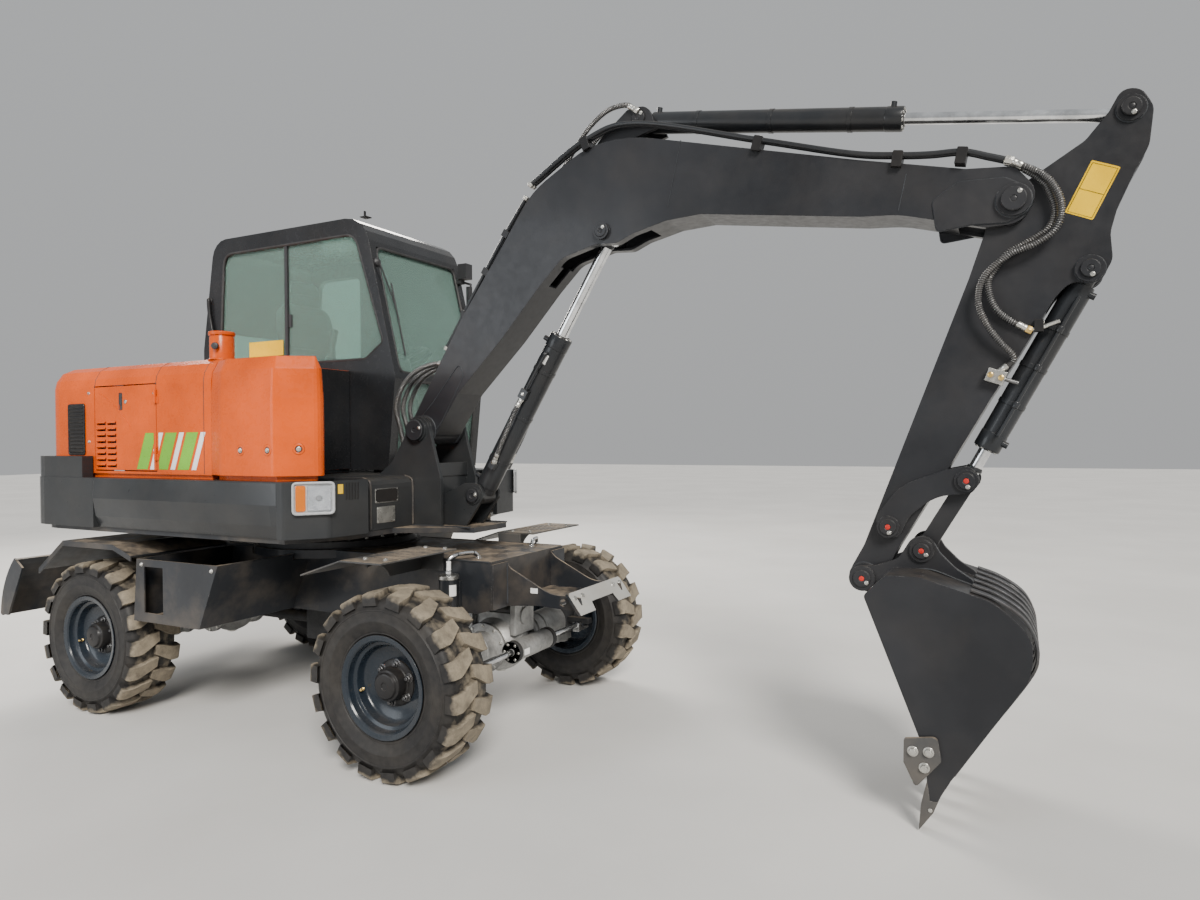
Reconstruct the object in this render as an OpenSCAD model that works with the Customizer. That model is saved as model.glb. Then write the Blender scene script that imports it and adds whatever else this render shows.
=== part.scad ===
// Wheeled excavator, in millimetres.
// X points forward, Y to the left and Z up; the origin is on the ground under the front axle.
// Outline tables have the columns [along, up, corner radius]; the last one is 0 for a sharp corner.

/* [Wheels] */
// Distance between the front and the rear axle
wheelbase = 2100; // [1900:10:2300]
// Distance between the middles of the left and right tyres
track = 1600; // [1560:10:1640]
// Outer diameter of a tyre over its lugs
tyre_d = 840; // [800:5:860]
// Width of a tyre over its lugs
tyre_w = 290; // [260:5:300]
// Diameter of the rim at the bead seat
rim_d = 419; // [400:1:440]
// Width of the rim between the outer faces of its flanges
rim_w = 256; // [230:2:260]
// Height of the tread lugs
lug_h = 26; // [18:1:30]
// Number of lugs on one shoulder of a tyre
lug_count = 18; // [14:1:22]
// Distance from the tyre's middle plane out to the wheel disc
disc_offset = 30; // [0:1:50]
// Radius of the hub drum inside the rim
hub_r = 112; // [100:1:130]

/* [Axles] */
// Radius of an axle tube
axle_tube_r = 88; // [70:1:95]
// Radius of the differential housing
diff_r = 150; // [140:1:170]
// Distance of a kingpin from the middle of the front axle
kingpin_y = 650; // [640:1:660]
// Radius of a kingpin
kingpin_r = 24; // [18:1:30]
// Gap between moving faces at a joint
gap = 6; // [5:0.5:8]

/* [Chassis] */
// Width of the frame's box
frame_w = 700; // [640:10:720]
// Height of the frame's top plate above the ground
frame_top = 900; // [880:5:905]
// Front face of the frame, ahead of the front axle
frame_front = 183; // [150:1:200]
// Rear face of the frame, behind the rear axle
frame_tail = 380; // [360:5:420]
// Thickness of the frame's plates
plate = 12; // [8:1:16]
// Height of the top of the step plates and mudguards
step_top = 957; // [940:1:965]
// Distance of the outer edge of steps and mudguards from the middle
step_y = 905; // [880:5:940]
// Length of the front bracket's side plates
nose_len = 442; // [400:2:460]
// Distance between the front bracket's side plates
nose_w = 440; // [400:5:480]
// Radius of the lashing eyes in the front bracket's side plates
lash_r = 18; // [14:1:19]

/* [Blade] */
// Width of the dozer blade
blade_w = 1900; // [1800:10:1940]
// Height of the dozer blade
blade_h = 370; // [320:5:420]
// Lean of the dozer blade out of the upright
blade_lean = 24; // [10:1:30]
// Pivot of the blade arms behind the rear axle
blade_pivot_back = 230; // [200:5:260]
// Height of the blade arms' pivot
blade_pivot_z = 465; // [450:5:475]

/* [House] */
// Distance of the swing centre behind the front axle
swing_back = 1150; // [1100:5:1200]
// Radius of the counterweight's tail about the swing centre
tail_r = 1650; // [1600:5:1680]
// Width of the house over its skirts
house_w = 1900; // [1860:10:1920]
// Underside of the deck above the ground
deck_z = 1010; // [990:1:1020]
// Thickness of the deck
deck_t = 28; // [20:1:30]
// Height of the top of the skirts
skirt_top = 1305; // [1280:5:1330]
// Height of the top of the hood
hood_top = 1918; // [1880:2:1940]
// Wall of the hood and tank covers
sheet = 18; // [10:1:25]
// Radius of the slewing ring
ring_r = 450; // [420:5:470]

/* [Cab] */
// Right face of the cab, left of the middle
cab_right = 80; // [60:5:120]
// Left face of the cab, left of the middle
cab_left = 950; // [930:5:960]
// Height of the cab's roof above the ground
cab_top = 2840; // [2780:5:2900]
// Thickness of the cab's walls and door
cab_wall = 46; // [35:1:60]
// Thickness of a window pane
glass_t = 8; // [5:1:12]

/* [Boom] */
// Distance of the boom foot pin behind the front axle
boom_foot_back = 415; // [400:5:430]
// Height of the boom foot pin
boom_foot_z = 1550; // [1540:2:1560]
// Length of the boom between its pins
boom_len = 2989; // [2950:1:3020]
// Angle of the line through the boom's pins above level
boom_angle = 16.5; // [16:0.1:17]
// Width of the boom's box
boom_w = 220; // [200:2:240]
// Radius of the boom's foot and tip bosses
boss_r = 78; // [70:1:85]

/* [Arm] */
// Length of the arm between its pins
arm_len = 1590.6; // [1580:0.1:1600]
// Angle of the arm's pin line below level, towards the machine
arm_angle = 110.7; // [110:0.1:111.5]
// Width of the arm's box
arm_w = 150; // [130:2:160]

/* [Bucket] */
// Distance of the tooth tips from the bucket pin
bucket_len = 939; // [915:1:945]
// Angle of the line from bucket pin to tooth tips below level
bucket_angle = 75.2; // [74:0.1:78]
// Width of the bucket
bucket_w = 700; // [640:10:740]
// Thickness of the bucket's side plates and shell
bucket_t = 14; // [10:1:18]
// Number of teeth
tooth_count = 5; // [4:1:6]

/* [Cylinders] */
// Outer radius of the boom cylinder's barrel
boom_barrel_r = 58; // [50:1:64]
// Outer radius of the arm and bucket cylinders' barrels
arm_barrel_r = 50; // [42:1:54]
// Radius of the boom cylinder's rod
boom_rod_r = 29; // [22:1:32]
// Radius of the arm and bucket cylinders' rods
arm_rod_r = 25; // [20:1:30]
// Running clearance between a rod and its gland
gland_gap = 0.08; // [0.02:0.01:0.1]
// Radius of the linkage pins
pin_r = 25; // [20:1:30]
// Clearance of a pin in its bore
pin_gap = 0.08; // [0.02:0.01:0.1]

/* [Hidden] */

tyre_r = tyre_d / 2;
tyre_y = track / 2;
swing_x = -swing_back;
deck_top = deck_z + deck_t;
boom_foot = [-boom_foot_back, boom_foot_z];
// A point given along and above the boom's pin line, in machine coordinates
function on_boom(p) = boom_foot + turn(p, boom_angle);
function turn(p, a) = [p[0] * cos(a) - p[1] * sin(a), p[0] * sin(a) + p[1] * cos(a)];
arm_pivot = on_boom([boom_len, 0]);
function on_arm(p) = arm_pivot + turn(p, -arm_angle);
bucket_pin = on_arm([arm_len, 0]);
function on_bucket(p) = bucket_pin + turn(p, -bucket_angle);

// Pins of the linkage in machine coordinates
boom_cyl_foot = [-110, 1200];
boom_cyl_eye = on_boom([1318, 596]);
arm_cyl_foot = on_boom([1640, 1047]);
arm_cyl_eye = on_arm([-409, 255]);
bucket_cyl_foot = on_arm([173, 337]);
rocker_pin = on_arm([arm_len - 237.6, 18]);
link_pin = on_arm([arm_len - 522.6, 225]);
ear_pin = on_bucket([-64, 256]);

// Shape helpers

function unit(v) = v / norm(v);
// Arc that rounds the corner at p between neighbours a and b
function fillet(a, p, b, r, n) = r <= 0 ? [p] :
    let (u = unit(a - p), v = unit(b - p), half = acos(u * v) / 2,
        cut = min(r / tan(half), 0.48 * norm(a - p), 0.48 * norm(b - p)), q = cut * tan(half),
        c = p + unit(u + v) * q / sin(half), s = p + u * cut, e = p + v * cut,
        a0 = atan2(s[1] - c[1], s[0] - c[0]), a1 = atan2(e[1] - c[1], e[0] - c[0]),
        d = ((a1 - a0 + 540) % 360) - 180)
    [for (i = [0 : n]) c + q * [cos(a0 + d * i / n), sin(a0 + d * i / n)]];
function xy(row) = [row[0], row[1]];
// Rounded outline of a table with the columns [along, up, corner radius]
function outline(t, n = 4) = let (k = len(t))
    [for (i = [0 : k - 1]) each fillet(xy(t[(i + k - 1) % k]), xy(t[i]), xy(t[(i + 1) % k]), t[i][2], n)];
// Signed area of an outline, to know which way round it runs
function signed_area(p) = let (k = len(p))
    0.5 * [for (i = [0 : k - 1]) p[i][0] * p[(i + 1) % k][1] - p[(i + 1) % k][0] * p[i][1]] * [for (i = p) 1];
// The table with its corners moved inwards by d and their radii changed to match
function inset(t, d) = let (k = len(t), p = [for (row = t) xy(row)], way = sign(signed_area(p)))
    [for (i = [0 : k - 1]) let (u = unit(p[i] - p[(i + k - 1) % k]), v = unit(p[(i + 1) % k] - p[i]),
        n = unit(u + v), q = p[i] + way * [-n[1], n[0]] * d / (n * u), r = t[i][2])
        [q[0], q[1], r == 0 ? 0 : max(r - way * sign(cross(u, v)) * d, 0)]];

// Plate or box whose outline lies in the XZ plane
module plate_xz(points, w, y = 0) {
    translate([0, y, 0]) rotate([90, 0, 0]) linear_extrude(w, center = true) polygon(points);
}
// Plate or box whose outline lies in the YZ plane
module plate_yz(points, w, x = 0) {
    translate([x, 0, 0]) rotate([90, 0, 90]) linear_extrude(w, center = true) polygon(points);
}
// Slab whose outline lies in the XY plane, from z0 up to z1
module slab(points, z0, z1) {
    translate([0, 0, z0]) linear_extrude(z1 - z0) polygon(points);
}
// Cylinder along Y at a point of the XZ plane
module pin_y(p, r, w, y = 0) {
    translate([p[0], y, p[1]]) rotate([90, 0, 0]) cylinder(r = r, h = w, center = true, $fn = 48);
}
// Block between two corners
module block(a, b) {
    translate(a) cube(b - a);
}
// Cylinder between two points in space
module rod_between(a, b, r, sides = 32) {
    d = b - a;
    translate(a) rotate([0, acos(d[2] / norm(d)), atan2(d[1], d[0])])
        cylinder(r = r, h = norm(d), $fn = sides);
}
// Hose or bent pipe through a list of points
module tube(points, r) {
    for (i = [0 : len(points) - 2]) rod_between(points[i], points[i + 1], r, 8);
    for (i = [1 : len(points) - 2]) translate(points[i]) sphere(r = r * 1.12, $fn = 10);
}
// Leaf and knuckle of a hinge on a wall whose outer face is at y, side by side along Z
hinge_leaf = 20;
module hinge_half(x, y, z, way) {
    out = sign(y);
    far = x + way * hinge_leaf;
    translate([x, y + out * 7, z]) cylinder(r = 7, h = 34.7, $fn = 24);
    block([min(x, far), min(y, y + out * 4), z], [max(x, far), max(y, y + out * 4), z + 34.7]);
}
// The same on the left and the right of the machine
module both_sides() {
    children();
    mirror([0, 1, 0]) children();
}
// Colours
dark = "#3b3f45";
orange = "#f26a12";
black = "#232427";
silver = "#9fa3a6";
steel_blue = "#3d5468";
clear = [0.55, 0.75, 0.70, 0.4];

// Chassis

frame_z0 = 640;
frame_outline = [[frame_front, frame_z0 + 25, 0], [frame_front, frame_top, 0],
    [-wheelbase - frame_tail, frame_top, 0], [-wheelbase - frame_tail, 520, 0],
    [-wheelbase - 180, 520, 0], [-wheelbase - 130, frame_z0, 60], [-wheelbase + 190, frame_z0, 60],
    [-wheelbase + 330, 560, 0], [-560, 560, 0], [-330, frame_z0, 60], [100, frame_z0, 0]];

module chassis_frame() {
    color(dark) difference() {
        union() {
            plate_xz(outline(frame_outline), frame_w);
            // round table that carries the slewing ring
            translate([swing_x, 0, frame_top - 40]) cylinder(r = ring_r + 25, h = 46, $fn = 72);
            // ears of the blade arms below, and of the blade cylinders behind
            both_sides() {
                pin_y(blade_pivot, 48, 24, ear_in_y);
                block([blade_pivot[0] - 48, ear_in_y - 12, blade_pivot[1]],
                    [blade_pivot[0] + 48, ear_in_y + 12, 530]);
                for (y = [-42, 42]) plate_xz(outline([[blade_cyl_foot[0] - 38, blade_cyl_foot[1] + 36, 36],
                    [-wheelbase - frame_tail + 60, frame_top + 62, 60],
                        [-wheelbase - frame_tail + 60, frame_top - 60, 0],
                    [-wheelbase - frame_tail + 1, frame_top - 90, 0],
                        [blade_cyl_foot[0] - 38, blade_cyl_foot[1] - 36, 36]]),
                    16, blade_arm_y - 80 + y);
            }
        }
        plate_xz(outline(inset(frame_outline, plate)), frame_w - 2 * plate);
        both_sides() {
            pin_y(blade_pivot, pin_r + pin_gap, 60, ear_in_y);
            pin_y(blade_cyl_foot, pin_r + pin_gap, 200, blade_arm_y - 80);
        }
    }
}

// Bracket ahead of the frame: two curved side plates, a floor and a leaning front plate
nose_z0 = 665;
nose_outline = [[0, 0, 0], [0, 222, 0], [28, 190, 90], [150, 130, 300], [262, 74, 200],
    [nose_len - 66, 78, 0],
    [nose_len - 20, 72, 0], [nose_len, 5, 0], [190, 16, 0]];
module front_bracket() {
    side = [for (p = outline(nose_outline)) p + [frame_front + 0.3, nose_z0]];
    lip_x = frame_front + nose_len;
    color(dark) {
        both_sides() {
            difference() {
                plate_xz(side, plate, nose_w / 2);
                pin_y([frame_front + 330, nose_z0 + 43], lash_r, 60, nose_w / 2);
            }
            block([frame_front + 0.3, nose_w / 2 - 1, nose_z0],
                [frame_front + plate, nose_w / 2 + 130, nose_z0 + 222]);
        }
        block([frame_front + 0.3, -nose_w / 2, nose_z0 + 20],
            [frame_front + 290, nose_w / 2, nose_z0 + 20 + plate]);
        // front plate with a notch in its lower edge
        difference() {
            plate_xz([[lip_x - 72, nose_z0 + 92], [lip_x - 60, nose_z0 + 98], [lip_x + 12, nose_z0 + 2],
                [lip_x, nose_z0 - 4]], nose_w + 110);
            block([lip_x - 60, -nose_w / 2 + 90, nose_z0 - 20],
                [lip_x + 40, nose_w / 2 - 90, nose_z0 + 44]);
        }
    }
}

module slew_ring() {
    color(black) translate([swing_x, 0, 0]) difference() {
        union() {
            translate([0, 0, frame_top + 6.3]) cylinder(r = ring_r, h = 38, $fn = 72);
            for (i = [0 : 27]) rotate([0, 0, i * 360 / 28])
                translate([ring_r - 22, 0, frame_top + 44]) cylinder(r = 11, h = 10, $fn = 16);
        }
        translate([0, 0, frame_top]) cylinder(r = ring_r - 90, h = 60, $fn = 72);
    }
}

// Step plates beside the front of the frame, over the front wheels
module front_steps() {
    z = step_top;
    path = [[-15, z], [-254, z], [-500, z - 80], [-500, z - 88], [-256, z - 8], [-15, z - 8]];
    color(silver) both_sides() {
        plate_xz(path, step_y - frame_w / 2 - 10, (step_y + frame_w / 2 + 10) / 2);
        // bracket under the plate, with a rounded cut-out
        difference() {
            block([-250, frame_w / 2 + 0.3, frame_top - 60], [-238, step_y - 160, z - 8]);
            translate([-260, step_y - 200, frame_top - 120]) rotate([0, 90, 0])
                cylinder(r = 130, h = 40, $fn = 48);
        }
        block([-250, frame_w / 2 + 0.3, frame_top - 60], [-100, frame_w / 2 + 10.3, z - 8]);
    }
}

module rear_mudguards() {
    z = step_top - 8;
    x = -wheelbase;
    guard = [[x + 400, z - 52], [x + 250, z], [x - 200, z], [x - 440, z - 172]];
    color(dark) both_sides() {
        plate_xz(concat(guard, [for (i = [3 : -1 : 0]) guard[i] - [0, 9]]),
            step_y + 35 - frame_w / 2, (step_y + 35 + frame_w / 2) / 2 + 0.3);
        // turned edge along the outside
        plate_xz(concat(guard, [for (i = [3 : -1 : 0]) guard[i] - [0, 30]]), 8, step_y + 31);
    }
}

// Open storage boxes between the wheels, tapered towards the ground, with a window in the outer wall
box_front = -1015;
box_rear = -1640;
box_y = 945;
module side_boxes() {
    color(dark) both_sides() difference() {
        plate_xz([[box_rear, 888], [box_front, 888], [box_front - 140, 562], [box_rear - 28, 562]],
            box_y - frame_w / 2, (box_y + frame_w / 2) / 2 + 0.3);
        plate_xz([[box_rear + 8, 920], [box_front - 8, 920], [box_front - 146, 572], [box_rear - 20, 572]],
            box_y - frame_w / 2 - 16, (box_y + frame_w / 2) / 2 + 0.3);
        block([box_rear + 60, box_y - 60, 610], [box_rear + 210, box_y + 40, 850]);
        // room for the round table
        translate([swing_x, 0, frame_top - 40 - gap]) cylinder(r = ring_r + 25 + gap, h = 80, $fn = 72);
    }
}

// Axles

module front_axle() {
    color(silver) {
        difference() {
            union() {
                translate([0, 0, tyre_r]) sphere(r = diff_r, $fn = 48);
                pin_y([0, tyre_r], axle_tube_r, 2 * kingpin_y - 220);
                // steering cylinder ahead of the housing
                pin_y([steer_rod_x, tyre_r], 52, 360);
                for (s = [-1, 1]) block([60, s * 120 - 15, tyre_r - 30],
                    [steer_rod_x, s * 120 + 15, tyre_r + 30]);
                both_sides() {
                    translate([0, kingpin_y - 200, tyre_r]) rotate([-90, 0, 0])
                        cylinder(r1 = axle_tube_r, r2 = axle_tube_r + 4, h = 90, $fn = 48);
                    // yoke that holds the knuckle above and below
                    for (s = [-1, 1]) block([-48, kingpin_y - 112, tyre_r + s * 105 - 20],
                        [48, kingpin_y + 34, tyre_r + s * 105 + 20]);
                    block([-48, kingpin_y - 124, tyre_r - 125], [48, kingpin_y - 96, tyre_r + 125]);
                    translate([0, kingpin_y, tyre_r - 140]) cylinder(r = 40, h = 280, $fn = 48);
                }
            }
            pin_y([steer_rod_x, tyre_r], steer_rod_r + pin_gap, 500);
            both_sides() {
                translate([0, kingpin_y, tyre_r - 200])
                    cylinder(r = kingpin_r + pin_gap, h = 400, $fn = 48);
                // room for the knuckle to turn between the yoke's lugs
                translate([0, kingpin_y, tyre_r - 85]) cylinder(r = 92, h = 170, $fn = 48);
            }
        }
        // cradle under the frame that the axle rocks in
        for (x = [-150, 120]) block([x, -90, tyre_r + 60], [x + 30, 90, frame_z0 - 0.3]);
        translate([-160, 0, tyre_r + 150]) rotate([0, 90, 0]) cylinder(r = 45, h = 320, $fn = 48);
        block([-120, -60, tyre_r + 100], [120, 60, tyre_r + 165]);
        // input flange
        translate([-diff_r - 60, 0, tyre_r]) rotate([0, 90, 0]) cylinder(r = 62, h = 110, $fn = 48);
    }
}

module rear_axle() {
    x = -wheelbase;
    color(silver) {
        translate([x, 0, tyre_r]) sphere(r = diff_r, $fn = 48);
        pin_y([x, tyre_r], axle_tube_r, track - 210);
        both_sides() {
            translate([x, tyre_y - 160, tyre_r]) rotate([-90, 0, 0]) cylinder(r = 95, h = 54, $fn = 48);
            translate([x, tyre_y - 110, tyre_r]) rotate([-90, 0, 0])
                cylinder(r = 78, h = 85.7 + disc_offset, $fn = 48);
            block([x - 90, 210, tyre_r + 40], [x + 90, 330, frame_z0 - 0.3]);
        }
        // input flange towards the gearbox
        translate([x + diff_r - 60, 0, tyre_r]) rotate([0, 90, 0]) cylinder(r = 62, h = 120, $fn = 48);
    }
}

// Gearbox with its motor, and a shaft to each axle
shaft_r = 32;
module driveline() {
    color(black) {
        block([-1290, -130, 330], [-990, 130, 559.7]);
        translate([-1250, 0, 440]) rotate([-90, 0, 0]) cylinder(r = 90, h = 290, $fn = 48);
        translate([-990, 0, tyre_r]) rotate([0, 90, 0])
            cylinder(r = shaft_r, h = 990 - diff_r - 61, $fn = 32);
        translate([-wheelbase + diff_r + 61, 0, tyre_r]) rotate([0, 90, 0])
            cylinder(r = shaft_r, h = wheelbase - diff_r - 61 - 1290, $fn = 32);
    }
}

// Axle lock cylinders beside the frame, with bent steel pipes
lock_y = frame_w / 2 + 62;
module lock_cylinders() {
    color(dark) both_sides() {
        translate([-25, lock_y, tyre_r + 150]) cylinder(r = 48, h = 265, $fn = 48);
        block([-60, frame_w / 2 + 0.3, 640], [10, lock_y - 40, 800]);
        translate([-25, lock_y, tyre_r + axle_tube_r + 30]) cylinder(r = 26, h = 70, $fn = 32);
    }
    color(silver) both_sides()
        tube([[-25, lock_y, 830], [-25, lock_y, 905], [0, lock_y - 40, 930], [30, lock_y - 130, 930],
            [40, lock_y - 160, frame_top + 7.3]], 9);
}

// Steering

steer_rod_x = 185;
steer_rod_r = 16;
steer_arm_y = kingpin_y - 25;
module knuckle() {
    color(black) difference() {
        union() {
            translate([0, kingpin_y, tyre_r - 79]) cylinder(r = 78, h = 158, $fn = 48);
            translate([0, kingpin_y, tyre_r - 146]) cylinder(r = kingpin_r, h = 292, $fn = 48);
            // hub that carries the wheel
            translate([0, kingpin_y + 40, tyre_r]) rotate([-90, 0, 0])
                cylinder(r = 78, h = tyre_y + disc_offset - 24.3 - kingpin_y - 40, $fn = 48);
            // steering arm
            block([50, kingpin_y - 45, tyre_r - 16], [steer_rod_x + 25, kingpin_y - 5, tyre_r + 16]);
        }
        translate([steer_rod_x, steer_arm_y, tyre_r - 60]) cylinder(r = 9, h = 120, $fn = 32);
    }
}
module knuckle_left() knuckle();
module knuckle_right() mirror([0, 1, 0]) knuckle();

// Rod through the steering cylinder, ending short of the arms' eyes
module steer_rod() {
    z = tyre_r;
    color(silver) {
        union() {
            pin_y([steer_rod_x, z], steer_rod_r, 2 * (steer_arm_y - 100));
            both_sides() block([steer_rod_x - 14, steer_arm_y - 130, z - 38],
                [steer_rod_x + 14, steer_arm_y + 4, z - 22]);
            both_sides() block([steer_rod_x - 20, steer_arm_y - 130, z - 38],
                [steer_rod_x + 20, steer_arm_y - 95, z + 16]);
        }
    }
}

// Wheels

// Carcass profile with the columns [radius, distance from the middle plane]
tread_r = tyre_r - lug_h;
bead_r = rim_d / 2 + 0.3;
bead_y = rim_w / 2 - 26;
carcass = [[bead_r, bead_y], [bead_r + 14, bead_y + 13], [bead_r + 22, bead_y + 15],
    [tyre_r * 0.72, tyre_w / 2 - 2],
    [tread_r - 34, tyre_w / 2 - 8], [tread_r - 4, tyre_w / 2 - 34], [tread_r, tyre_w / 2 - 70]];
cavity = [[tread_r - 22, 60], [tread_r - 30, tyre_w / 2 - 45], [tyre_r * 0.72, tyre_w / 2 - 24],
    [bead_r + 24, bead_y - 4], [bead_r, bead_y - 22]];
module tyre() {
    left = concat(cavity, carcass);
    color(black) {
        rotate([-90, 0, 0]) rotate_extrude($fn = 48)
            polygon(concat(left, [for (i = [len(left) - 1 : -1 : 0]) [left[i][0], -left[i][1]]]));
        lugs();
    }
}
// Chevron lugs that climb from the middle of the tread to each shoulder
module lugs() {
    pitch = 360 / lug_count;
    low = tyre_r - lug_h - 14;
    for (s = [0, 1], i = [0 : lug_count - 1]) mirror([0, s, 0]) rotate([0, (i + s / 2) * pitch, 0])
        translate([0, 0, low]) linear_extrude(tyre_r - low - 1.5)
            polygon([[-2, -10], [34, -10], [24, 62], [-4, 92], [-4, tyre_w / 2 - 6], [-52, tyre_w / 2 - 6],
                [-52, 80], [-30, 60]]);
}
// Rim profile with the columns [radius, distance out from the middle plane]
rim_seat = rim_d / 2;
rim_t = 9;
module rim() {
    half = rim_w / 2;
    profile = [[rim_seat, -half + 10], [rim_seat + 20, -half + 8], [rim_seat + 20, -half],
        [rim_seat - rim_t - 2, -half + 2], [rim_seat - rim_t - 6, -40], [rim_seat - 40, -20],
        [rim_seat - 40, disc_offset - 24],
        [hub_r - 20, disc_offset - 24], [70, disc_offset - 12], [70, disc_offset], [hub_r, disc_offset],
        [rim_seat - 34, disc_offset - 8], [rim_seat - 30, half - 40], [rim_seat - rim_t, half - 26],
        [rim_seat - rim_t, half - 2], [rim_seat + 20, half], [rim_seat + 20, half - 8],
            [rim_seat, half - 10],
        [rim_seat, half - 32], [rim_seat - 22, half - 44], [rim_seat - 28, -16], [rim_seat, -40]];
    color(steel_blue) rotate([-90, 0, 0]) rotate_extrude($fn = 72) polygon(profile);
    // hub drum with its cap, and the nuts that hold the disc
    color(black) {
        translate([0, disc_offset - 24, 0]) rotate([-90, 0, 0]) cylinder(r = 72, h = 80, $fn = 48);
        translate([0, disc_offset + 50, 0]) rotate([-90, 0, 0])
            cylinder(r1 = 62, r2 = 50, h = 26, $fn = 48);
        for (i = [0 : 9]) rotate([0, i * 36, 0]) translate([92, disc_offset - 4, 0]) rotate([-90, 0, 0])
            cylinder(r = 13, h = 24, $fn = 6);
    }
}
module at_wheel(front, left) {
    translate([front ? 0 : -wheelbase, 0, tyre_r]) mirror([0, left ? 0 : 1, 0])
        translate([0, tyre_y, 0]) children();
}

// Blade

blade_arm_y = 300;
ear_in_y = blade_arm_y - 42;
blade_pivot = [-wheelbase - blade_pivot_back, blade_pivot_z];
blade_top = [-wheelbase - 620, 800];
blade_low = blade_top + turn([0, -blade_h], -blade_lean);
blade_cyl_eye = [-wheelbase - 420, 580];
blade_cyl_foot = [-wheelbase - 450, 960];
// Points of the mouldboard's curve, moved back by t
function blade_curve(t) = [for (i = [0 : 8]) let (k = i / 8)
    blade_top + turn([-t - 34 - 136 * k * (1 - k), -blade_h * k], -blade_lean)];
module blade() {
    color(dark) {
        // mouldboard between two end plates
        plate_xz(concat(blade_curve(0), [for (i = [8 : -1 : 0]) blade_curve(16)[i]]), blade_w);
        both_sides() {
            plate_xz(concat([for (row = blade_curve(20)) row],
                [blade_low + [30, 20], blade_top + [30, -30]]), 12,
                blade_w / 2 - 6);
            difference() {
                union() {
                    plate_xz(outline([[blade_pivot[0] - 20, blade_pivot[1] + 44, 40],
                        [blade_cyl_eye[0] + 34, 518, 30],
                        [blade_cyl_eye[0] - 120, 640, 60], [blade_top[0] - 152, 640, 0],
                            [blade_top[0] - 178, 520, 0],
                        [blade_pivot[0] - 200, blade_pivot[1] - 70, 90],
                            [blade_pivot[0] + 20, blade_pivot[1] - 44, 40],
                        [blade_pivot[0] + 48, blade_pivot[1], 40]]), 36, blade_arm_y);
                    // cheeks that hold the cylinder's lower pin
                    for (y = [-116, -44]) plate_xz(outline([[blade_cyl_eye[0] + 34,
                        blade_cyl_eye[1] + 34, 34],
                        [blade_cyl_eye[0] - 34, blade_cyl_eye[1] + 34, 20], [blade_top[0] - 160, 600, 0],
                        [blade_top[0] - 175, 530, 0], [blade_cyl_eye[0] + 34, blade_cyl_eye[1] - 34, 34]]),
                        14, blade_arm_y + y);
                }
                pin_y(blade_cyl_eye, pin_r - 8, 160, blade_arm_y - 80);
            }
            pin_y(blade_pivot, pin_r, 100, blade_arm_y - 14);
            block([blade_top[0] - 160, blade_arm_y - 120, 560], [blade_top[0] - 20, blade_arm_y + 10, 572]);
        }
    }
}
blade_barrel_len = 250;
module blade_barrels() color(black) both_sides() {
    barrel(blade_cyl_foot, blade_cyl_eye, 32, blade_barrel_len, blade_arm_y - 80, 56, 30, 225, false);
    pin_y(blade_cyl_foot, pin_r, 116, blade_arm_y - 80);
}
module blade_rods() color(silver) both_sides()
    rod(blade_cyl_foot, blade_cyl_eye, 16, blade_barrel_len, blade_arm_y - 80, 44, 30, 11);

// Hoses

// From the house over the boom's foot to the boom's back
module foot_hoses() color(black) for (y = [-60, 0, 60])
    tube([for (p = [[-560, 1306], [-590, 1420], [-622, 1560], [-655, 1670], [-625, 1765], [-560, 1845],
        [-470, 1893], [-380, 1912], [-312, 1912]]) [p[0], y, p[1]]], 12);
// From the end of the boom's pipes to the arm's side; the columns are X, Z and the distance to the right
hose_side = arm_w / 2 + 11.3;
arm_hose_long = [[2442, 2550.5, 119], [2549, 2481, 122], [2596, 2411, 128], [2611, 2337, 132],
    [2588, 2266, 134],
    [2522, 2221, 134], [2434, 2189, 132], [2346, 2110, 130], [2329, 2008, 128], [2368, 1911, 120],
    [2410, 1852, 110], [2451, 1794, 98], [2393, 1741, hose_side]];
arm_hose_short = [[2442, 2550.5, 92], [2540, 2470, 96], [2575, 2405, 102], [2588, 2337, 106],
    [2565, 2280, 108],
    [2505, 2240, 108], [2434, 2205, 108], [2393, 2155, 107], [2362, 2093, 106], [2380, 2007, 102],
    [2426, 1952, 94], [2500, 1905, hose_side]];
module arm_hoses() color(black) for (path = [arm_hose_long, arm_hose_short])
    tube([for (p = path) [p[0], -p[2], p[1]]], 11);
// From the boom's back to the arm cylinder's foot
cylinder_hose = [[385, 2812.3, 40], [450, 2880, 44], [520, 2960, 52], [600, 3035, 62], [700, 3085, 76],
    [800, 3088, 85.3], [852, 3055, 85.3]];
module cylinder_hoses() color(black) for (s = [-1, 1])
    tube([for (p = cylinder_hose) [p[0], s * p[2], p[1]]], 11);

// Cylinders

// Barrel from its foot pin towards the eye, len long, with an eye at its foot
module barrel(foot, eye, r, len, y, eye_w, eye_r, bore, port = true) {
    d = eye - foot;
    a = atan2(d[1], d[0]);
    er = eye_r;
    translate([foot[0], y, foot[1]]) rotate([0, -a, 0]) difference() {
        union() {
            rotate([90, 0, 0]) cylinder(r = er, h = eye_w, center = true, $fn = 48);
            translate([er * 0.5, 0, 0]) rotate([0, 90, 0])
                cylinder(r = min(r, eye_w / 2) * 0.96, h = er, $fn = 48);
            translate([er * 1.2, 0, 0]) rotate([0, 90, 0]) cylinder(r = r, h = len - er * 1.2, $fn = 48);
            if (port) for (x = [er * 1.2 + 25, len - 45])
                translate([x, -r * 0.35, r * 0.55]) cylinder(r = 13, h = r * 0.75, $fn = 24);
        }
        if (port) rotate([90, 0, 0]) cylinder(r = pin_r + pin_gap, h = eye_w + 40, center = true, $fn = 48);
        translate([len - bore, 0, 0]) rotate([0, 90, 0])
            cylinder(r = r * 0.5 + gland_gap, h = len, $fn = 48);
    }
}
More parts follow.
